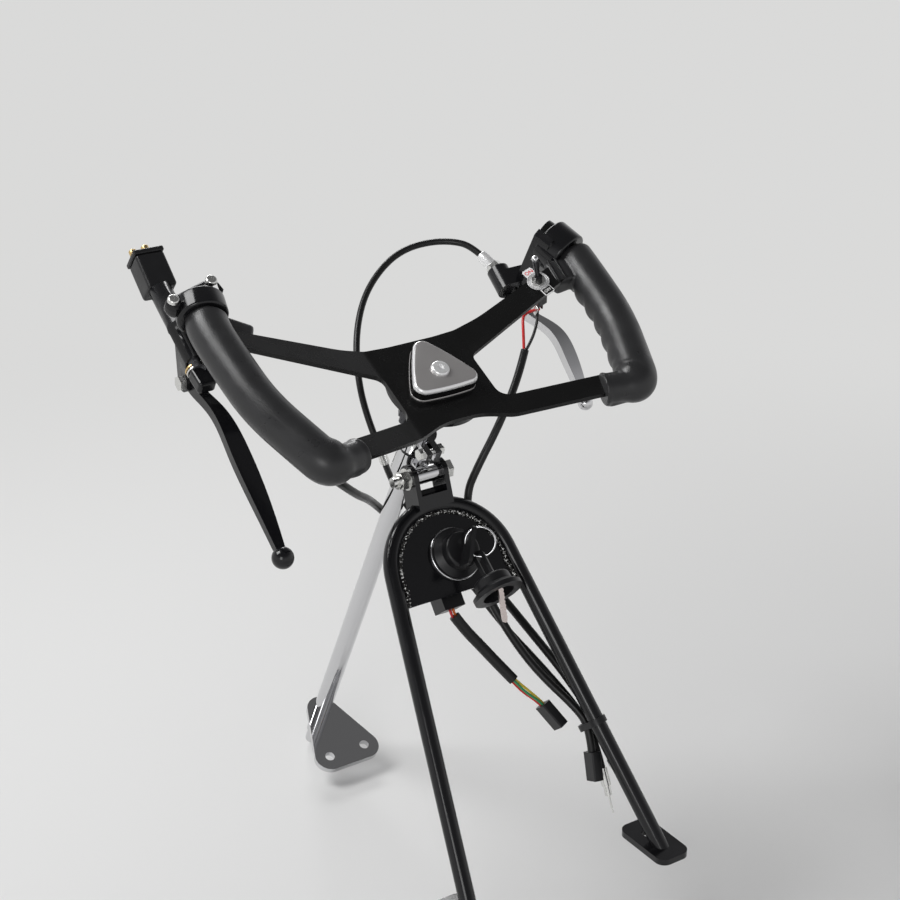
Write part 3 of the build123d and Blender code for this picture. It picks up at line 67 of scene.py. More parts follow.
# Middle, upward and outward direction of the wheel and of the hoop, as part.py has them, in metres
WHEEL_AT = Vector((0.0, 0.159043, 0.343166))
WHEEL_UP = Vector((0.0, 0.8966, 0.4428))
WHEEL_OUT = Vector((0.0, -0.4428, 0.8966))
HOOP_AT = Vector((0.0, 0.135047, 0.196113))
HOOP_UP = Vector((0.0, 0.6202, 0.7844))
HOOP_OUT = Vector((0.0, -0.7844, 0.6202))


def wheel(x, y, z):
    """Point in the wheel's axes."""
    return WHEEL_AT + (ACROSS * x + WHEEL_UP * y + WHEEL_OUT * z) * MM


def hoop(x, y, z):
    """Point in the hoop's axes."""
    return HOOP_AT + (ACROSS * x + HOOP_UP * y + HOOP_OUT * z) * MM


def wheel_way(x, y, z):
    """Direction in the wheel's axes."""
    return (ACROSS * x + WHEEL_UP * y + WHEEL_OUT * z).normalized()


def hoop_way(x, y, z):
    """Direction in the hoop's axes."""
    return (ACROSS * x + HOOP_UP * y + HOOP_OUT * z).normalized()


def square_to(way, near):
    """The direction square to a way that is nearest to another."""
    return (near - way * near.dot(way)).normalized()


def axes(place, x_way, up):
    """Placement matrix from a point, an x direction and a z direction."""
    turn = Matrix((x_way, up.cross(x_way), up)).transposed().to_4x4()
    return Matrix.Translation(place) @ turn


# Camera at the photograph's viewing angle
CAMERA_AT = (-0.7756, -1.02546, 0.92877)
CAMERA_WAY = (0.5043, 0.7581, -0.4135)
LENS = 84.0
SENSOR = 36.0
CLIP_START = 0.01


def add_camera():
    data = bpy.data.cameras.new("camera")
    data.lens = LENS
    data.sensor_width = SENSOR
    data.clip_start = CLIP_START
    camera = bpy.data.objects.new("camera", data)
    scene.collection.objects.link(camera)
    camera.location = CAMERA_AT
    camera.rotation_euler = Vector(CAMERA_WAY).to_track_quat("-Z", "Y").to_euler()
    scene.camera = camera
    scene.view_settings.view_transform = "Standard"


add_camera()


# Materials, with the specular level of the dark ones, which sets how much of the studio they mirror
GLOSSY = 0.42
SATIN = 0.25
MOULDED = 0.35
SMOOTH_RUBBER = 0.45
# The noise's two values between which roughness changes, and the least roughness
GRAIN_RANGE = (0.3, 0.7)
LEAST_ROUGH = 0.02


def material(name, colour, rough, metal=0.0, specular=0.5, grain=None, dent=None, patches=None):
    """Principled material with noise in its roughness, its surface and its colour.

    grain: scale and change of roughness; dent: scale, strength and distance;
    patches: scale, other colour, and the noise's two values between which the colour changes.
    """
    made = bpy.data.materials.new(name)
    made.use_nodes = True
    tree = made.node_tree
    shader = tree.nodes["Principled BSDF"]
    shader.inputs["Base Color"].default_value = (*colour, 1.0)
    shader.inputs["Roughness"].default_value = rough
    shader.inputs["Metallic"].default_value = metal
    shader.inputs["Specular IOR Level"].default_value = specular
    where = tree.nodes.new("ShaderNodeTexCoord").outputs["Object"]

    def noise(scale, detail):
        node = tree.nodes.new("ShaderNodeTexNoise")
        node.inputs["Scale"].default_value = scale
        node.inputs["Detail"].default_value = detail
        tree.links.new(where, node.inputs["Vector"])
        return node.outputs["Fac"]

    if grain:
        scale, change = grain
        spread = tree.nodes.new("ShaderNodeMapRange")
        spread.inputs["From Min"].default_value = GRAIN_RANGE[0]
        spread.inputs["From Max"].default_value = GRAIN_RANGE[1]
        spread.inputs["To Min"].default_value = max(LEAST_ROUGH, rough - change)
        spread.inputs["To Max"].default_value = rough + change
        tree.links.new(noise(scale, detail=4.0), spread.inputs["Value"])
        tree.links.new(spread.outputs["Result"], shader.inputs["Roughness"])
    if dent:
        scale, strength, distance = dent
        bump = tree.nodes.new("ShaderNodeBump")
        bump.inputs["Strength"].default_value = strength
        bump.inputs["Distance"].default_value = distance
        tree.links.new(noise(scale, detail=2.0), bump.inputs["Height"])
        tree.links.new(bump.outputs["Normal"], shader.inputs["Normal"])
    if patches:
        scale, other, low, high = patches
        ramp = tree.nodes.new("ShaderNodeValToRGB")
        for element, place, shade in zip(ramp.color_ramp.elements, (low, high), (colour, other)):
            element.position = place
            element.color = (*shade, 1.0)
        tree.links.new(noise(scale, detail=6.0), ramp.inputs["Fac"])
        tree.links.new(ramp.outputs["Color"], shader.inputs["Base Color"])
    return made


PAINT = material(
    "gloss_black_paint", (0.006, 0.006, 0.007), 0.14,
    specular=GLOSSY, grain=(60, 0.05), dent=(420, 0.05, 0.0004)
)
PLATE = material(
    "satin_black_paint", (0.006, 0.006, 0.006), 0.26,
    specular=SATIN, grain=(45, 0.08), dent=(900, 0.06, 0.0003)
)
CASTING = material(
    "black_casting", (0.006, 0.006, 0.007), 0.17,
    specular=GLOSSY, grain=(80, 0.07), dent=(700, 0.08, 0.0003)
)
PLASTIC = material(
    "black_plastic", (0.010, 0.010, 0.011), 0.36,
    specular=MOULDED, grain=(120, 0.06), dent=(1500, 0.10, 0.0002)
)
RUBBER = material(
    "grip_rubber", (0.020, 0.020, 0.021), 0.34,
    specular=SMOOTH_RUBBER, grain=(70, 0.08), dent=(1700, 0.22, 0.0003)
)
CORD = material(
    "cord_rubber", (0.008, 0.008, 0.008), 0.34,
    specular=MOULDED, grain=(90, 0.06), dent=(900, 0.08, 0.0002)
)
# Weld metal: dark, with small bright patches painted into its colour as glints of light
WELD_WITH_PAINTED_GLINTS = material(
    "weld_metal_painted_glints",
    (0.020, 0.019, 0.018),
    0.22,
    metal=0.7,
    grain=(900, 0.10),
    dent=(1300, 0.5, 0.0006),
    patches=(620, (0.85, 0.85, 0.83), 0.53, 0.60),
)
CHROME = material("chrome", (0.66, 0.66, 0.67), 0.07, metal=1.0, grain=(35, 0.03))
ZINC = material(
    "zinc_plate", (0.74, 0.74, 0.72), 0.24, metal=1.0, grain=(260, 0.08), dent=(600, 0.05, 0.0002)
)
ALUMINIUM = material("polished_aluminium", (0.66, 0.66, 0.67), 0.13, metal=1.0, grain=(50, 0.05))
BRASS = material("brass", (0.72, 0.52, 0.24), 0.24, metal=1.0, grain=(300, 0.06))
GUNMETAL = material(
    "gunmetal_cap", (0.44, 0.425, 0.42), 0.34, metal=0.6, grain=(60, 0.05), dent=(1200, 0.03, 0.0002)
)
LABEL = material("label_aluminium", (0.84, 0.84, 0.84), 0.34, grain=(300, 0.05))
BLACKENED = material("blackened_steel", (0.09, 0.09, 0.095), 0.30, metal=1.0, grain=(300, 0.08))
KEY_STEEL = material("key_steel", (0.62, 0.55, 0.53), 0.28, metal=1.0, grain=(200, 0.08))
# Bright steel for the screws, barrel and bat; on the cap's bevel it is a painted highlight
BRIGHT_STEEL_AND_HIGHLIGHT = material("bright_steel_and_painted_highlight", (0.90, 0.90, 0.90), 0.28, metal=0.55)
# Near-black metal for the cap's wall: painted shade on the gunmetal
PAINTED_SHADE_WALL = material("cap_wall_painted_shade", (0.035, 0.033, 0.033), 0.22, metal=0.8)
WIRE_RED = material("red_wire", (0.62, 0.02, 0.02), 0.38)
WIRE_BLACK = material("black_wire", (0.014, 0.014, 0.014), 0.42)
WIRE_ORANGE = material("orange_wire", (0.75, 0.16, 0.02), 0.38)
WIRE_GREEN = material("green_wire", (0.02, 0.24, 0.09), 0.38)
WIRE_YELLOW = material("yellow_wire", (0.75, 0.55, 0.04), 0.38)
RING_GREY = material("ring_grey", (0.55, 0.55, 0.55), 0.30, metal=0.3)
WORD_WHITE = material("white_print", (0.82, 0.82, 0.80), 0.5)
WORD_RED = material("red_print", (0.72, 0.02, 0.03), 0.45)
TAB_BLACK = material("black_print", (0.012, 0.012, 0.012), 0.35)
PALE_FLOOR = material("pale_floor", (0.74, 0.74, 0.735), 0.7, specular=0.2)

# Nodes whose solid shows as it is
FINISH = {
    PAINT: "hoop foot_left foot_right gusset_plate bracket left_lever hub",
    PLATE: "yoke_plate grip_tube_right",
    CASTING: "right_clamp",
    PLASTIC: "ignition_body ignition_key spare_key switch_body switch_plug ignition_plug column_liner"
    " cord_clip",
    CHROME: "column column_bearing collar drop_plate key_ring",
    ZINC: "cross_bolt cross_nut collar_bolt left_pivot_bolt right_pivot_bolt cable_adjuster switch_nut"
    " hose_union cable_end",
    BLACKENED: "hub_studs banjo",
    ALUMINIUM: "right_lever",
    LABEL: "switch_plate",
    BRIGHT_STEEL_AND_HIGHLIGHT: "cap_screw",
}


def paint(obj, finish):
    obj.data.materials.clear()
    obj.data.materials.append(finish)


for finish, names in FINISH.items():
    for name in names.split():
        paint(nodes[name], finish)


# Tools that make pieces
def finished(obj, finish, body, slot, *replaced):
    """Colour, replaced nodes and body of a piece that the scene adds; the slot is not used."""
    paint(obj, finish)
    if replaced:
        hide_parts(*replaced)
    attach(obj, body)
    return obj


def new_object(name, data):
    made = bpy.data.objects.new(name, data)
    scene.collection.objects.link(made)
    return made


def new_mesh(name, points, faces, smooth=True):
    data = bpy.data.meshes.new(name)
    data.from_pydata([tuple(p) for p in points], [], faces)
    data.validate()
    if smooth:
        data.shade_smooth()
    return new_object(name, data)


# Smooth curves: steps from point to point, how finely a tube is rounded, and order of the curve
CURVE_STEPS = 10
TUBE_ROUNDING = 5
CURVE_ORDER = 3


def spline(name, points, radius):
    """Smooth curve with the route's points as its control points."""
    data = bpy.data.curves.new(name, "CURVE")
    data.dimensions = "3D"
    data.resolution_u = CURVE_STEPS
    data.bevel_depth = radius
    data.bevel_resolution = TUBE_ROUNDING
    data.use_fill_caps = radius > 0
    line = data.splines.new("NURBS")
    line.points.add(len(points) - 1)
    for point, where in zip(line.points, points):
        point.co = (*where, 1.0)
    line.order_u = CURVE_ORDER
    line.use_endpoint_u = True
    return new_object(name, data)


def as_mesh(obj):
    """Smooth mesh object with the same name in place of a curve."""
    name = obj.name
    mesh = bpy.data.meshes.new_from_object(obj)
    bpy.data.objects.remove(obj)
    mesh.name = name
    mesh.shade_smooth()
    return new_object(name, mesh)


def centre_line(points):
    """Points that the smooth curve passes through."""
    bare = spline("line", points, 0.0)
    mesh = bpy.data.meshes.new_from_object(bare)
    found = [v.co.copy() for v in mesh.vertices]
    bpy.data.objects.remove(bare)
    bpy.data.meshes.remove(mesh)
    return found


def length_of(path):
    return sum((b - a).length for a, b in zip(path, path[1:]))


def evenly(path, parts):
    """The path's points again, at even steps."""
    total = [0.0]
    for a, b in zip(path, path[1:]):
        total.append(total[-1] + (b - a).length)
    found, even = 0, []
    for k in range(parts + 1):
        want = total[-1] * k / parts
        while found < len(path) - 2 and total[found + 1] < want:
            found += 1
        share = (want - total[found]) / (total[found + 1] - total[found])
        even.append(path[found].lerp(path[found + 1], share))
    return even


def skin_faces(rings, sides, closed=False):
    """Faces between rings of points, with both ends shut unless the rings close on themselves."""
    faces = []
    for k in range(rings if closed else rings - 1):
        a, b = k * sides, (k + 1) % rings * sides
        faces += [(a + n, a + (n + 1) % sides, b + (n + 1) % sides, b + n) for n in range(sides)]
    if not closed:
        faces.append(tuple(range(sides))[::-1])
        faces.append(tuple((rings - 1) * sides + n for n in range(sides)))
    return faces


def sweep(name, path, radius_at, sides=12, closed=False, side=None):
    """Bar along a path. radius_at gives its radius from the share of the way and the turn from its side."""
    points = []
    count = len(path)
    for k, here in enumerate(path):
        before = path[k - 1] if k or closed else here
        after = path[(k + 1) % count] if k < count - 1 or closed else here
        way = (after - before).normalized()
        side = square_to(way, way.orthogonal() if side is None else side)
        other = way.cross(side)
        for n in range(sides):
            turn = math.tau * n / sides
            radius = radius_at(k / (count - 1), turn) * MM
            points.append(here + (side * math.cos(turn) + other * math.sin(turn)) * radius)
    return new_mesh(name, points, skin_faces(count, sides, closed))


# Steps round a drum's rim, radius of the ring that shuts its face, and the turn from which an edge is sharp
RIM_STEPS = 6
FACE_CENTRE = 0.1
DRUM_SHARP = math.radians(50)


def drum(name, start, end, radius, rim, sides=48):
    """Round bar between two points with rounded rims."""
    radius, rim = radius * MM, rim * MM
    length = (end - start).length
    stops = [0.0, 0.0] + [rim * (1 - math.cos(math.pi / 2 * k / RIM_STEPS)) for k in range(1, RIM_STEPS + 1)]
    stops += [length - s for s in reversed(stops)]
    points = []
    way = (end - start).normalized()
    side = way.orthogonal().normalized()
    other = way.cross(side)
    for k, stop in enumerate(stops):
        place = start.lerp(end, stop / length)
        near = min(stop, length - stop, rim)
        size = radius - rim + math.sqrt(max(0.0, rim * rim - (rim - near) ** 2))
        if k in (0, len(stops) - 1):
            size = FACE_CENTRE * MM
        for n in range(sides):
            turn = math.tau * n / sides
            points.append(place + (side * math.cos(turn) + other * math.sin(turn)) * size)
    made = new_mesh(name, points, skin_faces(len(stops), sides))
    made.data.set_sharp_from_angle(angle=DRUM_SHARP)
    return made


def box(name, place, x_way, up, size, bevel=0.0, segments=4):
    """Bevelled box about a point."""
    x, y, z = (v * MM / 2 for v in size)
    corners = [Vector((a, b, c)) for a in (-x, x) for b in (-y, y) for c in (-z, z)]
    faces = [(0, 1, 3, 2), (4, 6, 7, 5), (0, 4, 5, 1), (2, 3, 7, 6), (0, 2, 6, 4), (1, 5, 7, 3)]
    made = new_mesh(name, corners, faces, smooth=False)
    made.matrix_world = axes(place, x_way, up)
    if bevel:
        rounding = made.modifiers.new("rounding", "BEVEL")
        rounding.width = bevel * MM
        rounding.segments = segments
    return made


def evaluated_mesh(obj):
    """The object's mesh with its modifiers applied."""
    bpy.context.view_layer.update()
    return bpy.data.meshes.new_from_object(obj.evaluated_get(bpy.context.evaluated_depsgraph_get()))


# Share of the way to its neighbours' middle that a round of smoothing moves a point
SMOOTHING = 0.5


def fused(name, pieces, voxel, rounds):
    """One soft skin round several overlapping bodies."""
    skin = bmesh.new()
    for piece in pieces:
        mesh = evaluated_mesh(piece)
        mesh.transform(piece.matrix_world)
        skin.from_mesh(mesh)
        bpy.data.objects.remove(piece)
        bpy.data.meshes.remove(mesh)
    data = bpy.data.meshes.new(name)
    skin.to_mesh(data)
    skin.free()
    made = new_object(name, data)
    remesh = made.modifiers.new("skin", "REMESH")
    remesh.mode = "VOXEL"
    remesh.voxel_size = voxel * MM
    remesh.use_smooth_shade = True
    soften = made.modifiers.new("soften", "SMOOTH")
    soften.factor = SMOOTHING
    soften.iterations = rounds
    made.data = evaluated_mesh(made)
    made.modifiers.clear()
    return made


# Distance at which points of a node's mesh count as one, and the turn from which its edges are sharp
ONE_POINT = 1e-6
TRIM_SHARP = math.radians(30)


def trimmed(name, node, place, normal, finish, slot):
    """The node's own shape, cut off flat beyond a plane."""
    mesh = bmesh.new()
    mesh.from_mesh(nodes[node].data)
    mesh.transform(nodes[node].matrix_world)
    bmesh.ops.remove_doubles(mesh, verts=mesh.verts, dist=ONE_POINT)
    everything = mesh.verts[:] + mesh.edges[:] + mesh.faces[:]
    bmesh.ops.bisect_plane(mesh, geom=everything, plane_co=place, plane_no=normal, clear_outer=True)
    bmesh.ops.holes_fill(mesh, edges=[e for e in mesh.edges if e.is_boundary])
    data = bpy.data.meshes.new(name)
    mesh.to_mesh(data)
    mesh.free()
    data.shade_smooth()
    data.set_sharp_from_angle(angle=TRIM_SHARP)
    return finished(new_object(name, data), finish, "steering", slot, node)


# Wires between the toggle switch and its lead: name, colour and the route's points in the wheel's axes
SWITCH_WIRE_DIAMETER = 2.3
SWITCH_WIRES = (
    (
        "red_switch_wire", WIRE_RED,
        ((122.3, 43.3, -3.5), (116, 47, -8), (108.5, 44.5, -9), (104, 34, -13), (100.5, 23.2, -21.5)),
    ),
    (
        "black_switch_wire", WIRE_BLACK,
        ((122.6, 47.5, -3.5), (121, 41, -9.5), (115, 33, -13.5), (108.5, 26.5, -17.5), (102.2, 22, -21.4)),
    ),
)
# Wires between the ignition lead and its plug, in the hoop's axes
PLUG_WIRE_DIAMETER = 2.0
PLUG_WIRES = (
    (
        "red_ignition_wire", WIRE_RED,
        (
            (29.2, -91.7, -26.6), (30.6, -94.3, -26.6), (35, -101.5, -27.5),
            (44.3, -113.2, -26.5), (45.5, -115.9, -26.5),
        ),
    ),
    (
        "yellow_ignition_wire", WIRE_YELLOW,
        ((31.3, -90.5, -25), (32.7, -93.2, -25), (38, -101, -24.5), (46.1, -112.4, -25), (47.3, -115.1, -25)),
    ),
    (
        "green_ignition_wire", WIRE_GREEN,
        (
            (29.2, -91.7, -23.4), (30.6, -94.3, -23.4), (34.5, -103, -22),
            (44.3, -113.2, -23.5), (45.5, -115.9, -23.5),
        ),
    ),
)
# Wires between the ignition switch and its lead, in the hoop's axes
BLOCK_WIRE_RADIUS = 1.1
BLOCK_WIRES = (
    (
        "red_block_wire", WIRE_RED,
        ((-3.4, -26.0, -21), (-3.4, -27.7, -21), (-3.1, -30, -21.7), (-2.4, -31.6, -22)),
    ),
    (
        "orange_block_wire", WIRE_ORANGE,
        ((-0.6, -26.0, -21), (-0.6, -27.3, -21), (-0.4, -28.8, -21.7), (0.3, -30.4, -22)),
    ),
)


def switch_wires():
    """The two wires at the switch."""
    diameter = SWITCH_WIRE_DIAMETER * MM
    for name, finish, route in SWITCH_WIRES:
        points = [wheel(*p) for p in route]
        wire = finished(spline(name, points, diameter / 2), finish, "steering", "cord_rubber", "switch_wires")
        length = round(length_of(centre_line(points)), 4)


def plug_wires():
    """Wires that go with the ignition lead, at its lower end."""
    made = []
    for name, finish, route in PLUG_WIRES:
        wire = spline(name, [hoop(*p) for p in route], PLUG_WIRE_DIAMETER * MM / 2)
        made.append(finished(wire, finish, "support", "cord_rubber", "ignition_wires"))
    return made


def block_wires():
    """Wires that go with the ignition lead, at its upper end."""
    made = []
    for name, finish, route in BLOCK_WIRES:
        path = centre_line([hoop(*p) for p in route])
        wire = sweep(name, path, lambda share, turn: BLOCK_WIRE_RADIUS, sides=10)
        made.append(finished(wire, finish, "support", "cord_rubber"))
    return made


# Cords: the route's points, first those in the wheel's axes and then those in the hoop's
CORDS = {
    "brake_hose": dict(
        diameter=6.6,
        length_m=0.531,
        far_end="fitting",
        stiffness="stiff",
        fittings=["hose_union"],
        on_wheel=(
            (-141.4, 61.3, -20.2), (-134.2, 48.5, -26.6), (-120.6, 22, -34), (-104, -5, -45),
            (-78, -15, -68), (-48, -11, -101), (-22, 4, -132), (2, 14, -163),
        ),
        on_hoop=(
            (30, 46, -98), (52, 18, -74), (56, -20, -46), (60, -58, -28),
            (68, -96, -16), (73.5, -129.5, -9.2), (76.3, -150, -9.2), (82.5, -170, -13.5),
        ),
    ),
    "brake_cable": dict(
        diameter=5.2,
        length_m=0.575,
        far_end="fitting",
        stiffness="medium",
        fittings=["cable_end"],
        on_wheel=(
            (117.3, 116.6, -14.5), (113.9, 130.2, -14.1), (105, 141.2, -17), (90.5, 149.8, -21.5),
            (71, 153.2, -26.5), (52, 149.5, -33), (29, 135.5, -41), (11, 116, -49), (-4, 90, -58),
            (-13, 62, -70), (-15, 38, -82), (-10.5, 17, -99), (0, 14, -122), (13, 7, -146),
        ),
        on_hoop=(
            (26, 30, -60), (33, -6, -42), (42, -46, -34), (57, -88, -24),
            (69.8, -130, -14.4), (73, -154, -14.4), (73.5, -176, -20),
        ),
    ),
    "switch_lead": dict(
        diameter=6.2,
        length_m=0.346,
        far_end="plug",
        stiffness="medium",
        fittings=["switch_plug"],
        on_wheel=(
            (101.2, 22.4, -22), (93.6, 12.5, -32), (80, -1.5, -45),
            (64, -15, -64), (48.5, -25.5, -84), (37.6, -34.1, -108),
        ),
        on_hoop=(
            (32, 10, -18), (29, -22, -17), (37, -58, -19), (49, -92, -19),
            (66, -130.5, -9.2), (68, -146, -9.2), (66, -162, -13.5),
        ),
    ),
    "ignition_lead": dict(
        diameter=8.6,
        length_m=0.068,
        far_end="plug",
        stiffness="medium",
        fittings=["ignition_plug"],
        on_wheel=(),
        on_hoop=((-1, -31, -22), (4.5, -43, -24), (12.5, -57, -25), (21, -74, -25), (30, -91, -25)),
    ),
}


def bend_with_steering(piece):
    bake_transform(piece)


def cord(name, facts):
    """Smooth tube along a cord's route. Returns its centre line."""
    points = [wheel(*p) for p in facts["on_wheel"]] + [hoop(*p) for p in facts["on_hoop"]]
    line = centre_line(points)
    diameter = facts["diameter"] * MM
    tube = as_mesh(spline(name + "_tube", points, diameter / 2))
    paint(tube, CORD)
    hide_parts(name)
    if facts["on_wheel"]:
        bend_with_steering(tube)
    else:
        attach(tube, "support")
    return line


# Weld beads of the gusset plate; the legs' spread is in degrees
LEG_SPREAD = 7.75
SEAM_RADIUS = 45.1
SEAM_FOOT = -17.5
SEAM_FACE = 1.7
SEAM_STEPS = 40
BEAD_RADIUS = 2.0
BEAD_PITCH = 2.8
# Least and greatest size of a ripple, share of the radius between two ripples, and rise of a ripple
BEAD_SIZES = (0.85, 1.15)
BEAD_VALLEY = 0.72
BEAD_RISE = 0.4
STEPS_A_RIPPLE = 5


def gusset_seam(off):
    """Path of the seam on one face: up one leg, round the arch and down the other leg."""
    spread = math.radians(LEG_SPREAD)
    foot_x = SEAM_RADIUS / math.cos(spread) - SEAM_FOOT * math.tan(spread)
    seam = [hoop(-foot_x, SEAM_FOOT, off)]
    for k in range(SEAM_STEPS + 1):
        turn = math.radians(180 + LEG_SPREAD) - math.radians(180 + 2 * LEG_SPREAD) * k / SEAM_STEPS
        seam.append(hoop(SEAM_RADIUS * math.cos(turn), SEAM_RADIUS * math.sin(turn), off))
    seam.append(hoop(foot_x, SEAM_FOOT, off))
    return seam


def weld_bead(name, path):
    """Row of overlapping ripples of uneven size."""
    length = length_of(path)
    waves = length / (BEAD_PITCH * MM)
    sizes = {}

    def radius_at(share, turn):
        ripple = int(share * waves)
        if ripple not in sizes:
            sizes[ripple] = random.uniform(*BEAD_SIZES)
        height = BEAD_VALLEY + BEAD_RISE * abs(math.sin(math.pi * share * waves))
        return BEAD_RADIUS * sizes[ripple] * height

    path = evenly(path, int(length / (BEAD_PITCH * MM / STEPS_A_RIPPLE)))
    return finished(sweep(name, path, radius_at, sides=8), WELD_WITH_PAINTED_GLINTS, "support", "painted_steel")


# Toggle switch: slope and foot of the plate's arm, the label's middle, its turn and the height of its face
ARM_SLOPE = 0.307
ARM_FOOT = 39.4
LABEL_X = 114.6
LABEL_Y = 47.7
LABEL_TURN = math.radians(9)
LABEL_TOP = 0.8
LABEL_AT = wheel(LABEL_X, LABEL_Y, (LABEL_X - ARM_FOOT) * ARM_SLOPE)
LABEL_UP = wheel_way(-ARM_SLOPE, 0, 1)
LABEL_ACROSS = square_to(LABEL_UP, wheel_way(math.cos(LABEL_TURN), math.sin(LABEL_TURN), 0))
WORD_ON_Y = 11.0
WORD_OFF_Y = -11.1
TAB_SIZE = (7.4, 5.6, 0.12)
PRINT_THICKNESS = 0.04
PRINT_SWELL = 0.05
PRINT_RISE = 0.03
TAB_PRINT_RISE = 0.08
# Rings round the nut: radius and half thickness
LABEL_RINGS = ((5.4, 0.5), (6.9, 0.35), (8.2, 0.45))
RING_RISE = 0.2
RING_STEPS = 48
# The bat's two ends, its radius at the low one and what it gains, and the tip's place as shares of the bat
BAT_LOW = (113.2, 48.4, 27.5)
BAT_HIGH = (109.8, 54.4, 41.0)
BAT_RADIUS = 1.7
BAT_FLARE = 0.8
TIP_FROM = 0.93
TIP_TO = 1.22
TERMINALS = ((119.0, 43.3, -4.6), (119.6, 47.5, -4.6))
TERMINAL_SIZE = (1.0, 3.2, 8.0)


def on_label(x, y, z):
    """Point in the label's axes."""
    return axes(LABEL_AT, LABEL_ACROSS, LABEL_UP) @ (Vector((x, y, z)) * MM)


def word(name, text, size, y, height, finish):
    data = bpy.data.curves.new(name, "FONT")
    data.body = text
    data.size = size * MM
    data.extrude = PRINT_THICKNESS * MM
    data.offset = PRINT_SWELL * MM
    data.align_x = "CENTER"
    data.align_y = "CENTER"
    made = new_object(name, data)
    made.matrix_world = axes(on_label(0, y, height), LABEL_ACROSS, LABEL_UP)
    return finished(made, finish, "steering", "label_aluminium")


def switch_words():
    word("word_on", "ON", size=4.6, y=WORD_ON_Y, height=LABEL_TOP + PRINT_RISE, finish=WORD_RED)
    tab = box("dark_tab", on_label(0, WORD_OFF_Y, LABEL_TOP), LABEL_ACROSS, LABEL_UP, TAB_SIZE)
    finished(tab, TAB_BLACK, "steering", "label_aluminium")
    word("word_off", "OFF", size=3.4, y=WORD_OFF_Y, height=LABEL_TOP + TAB_PRINT_RISE, finish=WORD_WHITE)


def toggle_switch():
    """Thick bat with a bright ball, rings round the nut and two terminals."""
    low, high = wheel(*BAT_LOW), wheel(*BAT_HIGH)
    path = evenly([low, high], parts=15)
    bat = sweep("toggle_bat", path, lambda share, turn: BAT_RADIUS + BAT_FLARE * share, sides=20)
    finished(bat, BLACKENED, "steering", "chrome_steel", "switch_bat")
    tip = drum("bat_tip", low.lerp(high, TIP_FROM), low.lerp(high, TIP_TO), radius=2.7, rim=2.2, sides=24)
    finished(tip, CHROME, "steering", "chrome_steel")
    for k, (radius, half_thickness) in enumerate(LABEL_RINGS):
        turns = [math.tau * n / RING_STEPS for n in range(RING_STEPS)]
        path = [on_label(radius * math.cos(t), radius * math.sin(t), LABEL_TOP + RING_RISE) for t in turns]
        ring = sweep("label_ring_%d" % k, path, lambda share, turn: half_thickness, sides=8, closed=True)
        finished(ring, RING_GREY, "steering", "label_aluminium")
    for k, place in enumerate(TERMINALS):
        name = "switch_terminal_%d" % k
        terminal = box(name, wheel(*place), ACROSS, WHEEL_OUT, TERMINAL_SIZE, bevel=0.3, segments=3)
        finished(terminal, ZINC, "steering", "zinc_steel")


# Moulded grips: the bar's route in the wheel's axes, x outwards, from the sleeve on the arm to the clamp
ELBOW = (132.0, -69.0, 23)
GRIP_ROUTE = (
    (105, -61.7, 17.9), (115, -64.4, 20.4), ELBOW, (139.2, -48, 23.05), (152.5, -5.9, 23.2),
    (155.0, 33, 24.3), (156.05, 72.3, 25.3), (151.5, 82.0, 25.6), (144.2, 96.5, 26.15),
)
GRIP_STEP = 0.9
GRIP_RADIUS = 15.5
END_ROUND = 3
# The sleeve widens to the grip from SWELL_FROM on, over SWELL_LENGTH, and has a collar at its own end
SLEEVE_RADIUS = 11.7
SWELL_FROM = 13
SWELL_LENGTH = 17
COLLAR_LENGTH = 3.6
COLLAR_SLOPE = 1.2
COLLAR_HEIGHT = 1.1
LIP_LENGTH = 0.9
LIP_DEPTH = 0.4
# Finger grooves between two heights up the wheel, from GROOVES_FROM along the bar, on the side of their turn
GROOVES_LOW = -49
GROOVES_HIGH = 37
GROOVES_FROM = 40
GROOVE_PITCH = 17.0
GROOVE_TURN = 0.65
RIDGE_HEIGHT = 2.2
GROOVE_FLOOR = 1.6
# Ball that fills the inside of the elbow
BALL_AT = (131.5, -62.5, 23)
BALL_RADIUS = 15.7
# Ledge between the sleeve and the plate's arm
LEDGE_AT = (116.5, -66.6, 17.6)
LEDGE_WAY = (0.95, -0.17, 0.25)
LEDGE_SIZE = (22, 17, 14)
# Left grip: height of its top, and the sleeve on the plate's upper arm
LEFT_TOP = 82.0
SLEEVE_AT = (-135.5, 66, 17.0)
SLEEVE_WAY = wheel_way(-0.85, 0.485, 0.21)
SLEEVE_SIZE = (24, 25, 12.5)
# Right grip: height of its top, and its boss
RIGHT_TOP = 64.0
BOSS_AT = (136, 50, 21.8)
BOSS_ALONG = wheel_way(0.10, 0.99, 0.03)
BOSS_FACING = wheel_way(-0.35, 0.0, 0.94)
BOSS_SIZE = (23, 17, 16.5)
# The boss's ribs: the middle between them, the way across them, and each one's place along that way
RIBS_AT = (131.9, 50, 29.6)
RIBS_WAY = (0.94, -0.1, 0.35)
RIB_PLACES = (-3.2, 2.4)
RIB_SIZE = (22, 1.7, 2.4)


def up_the_wheel(point):
    return (point - WHEEL_AT).dot(WHEEL_UP) / MM


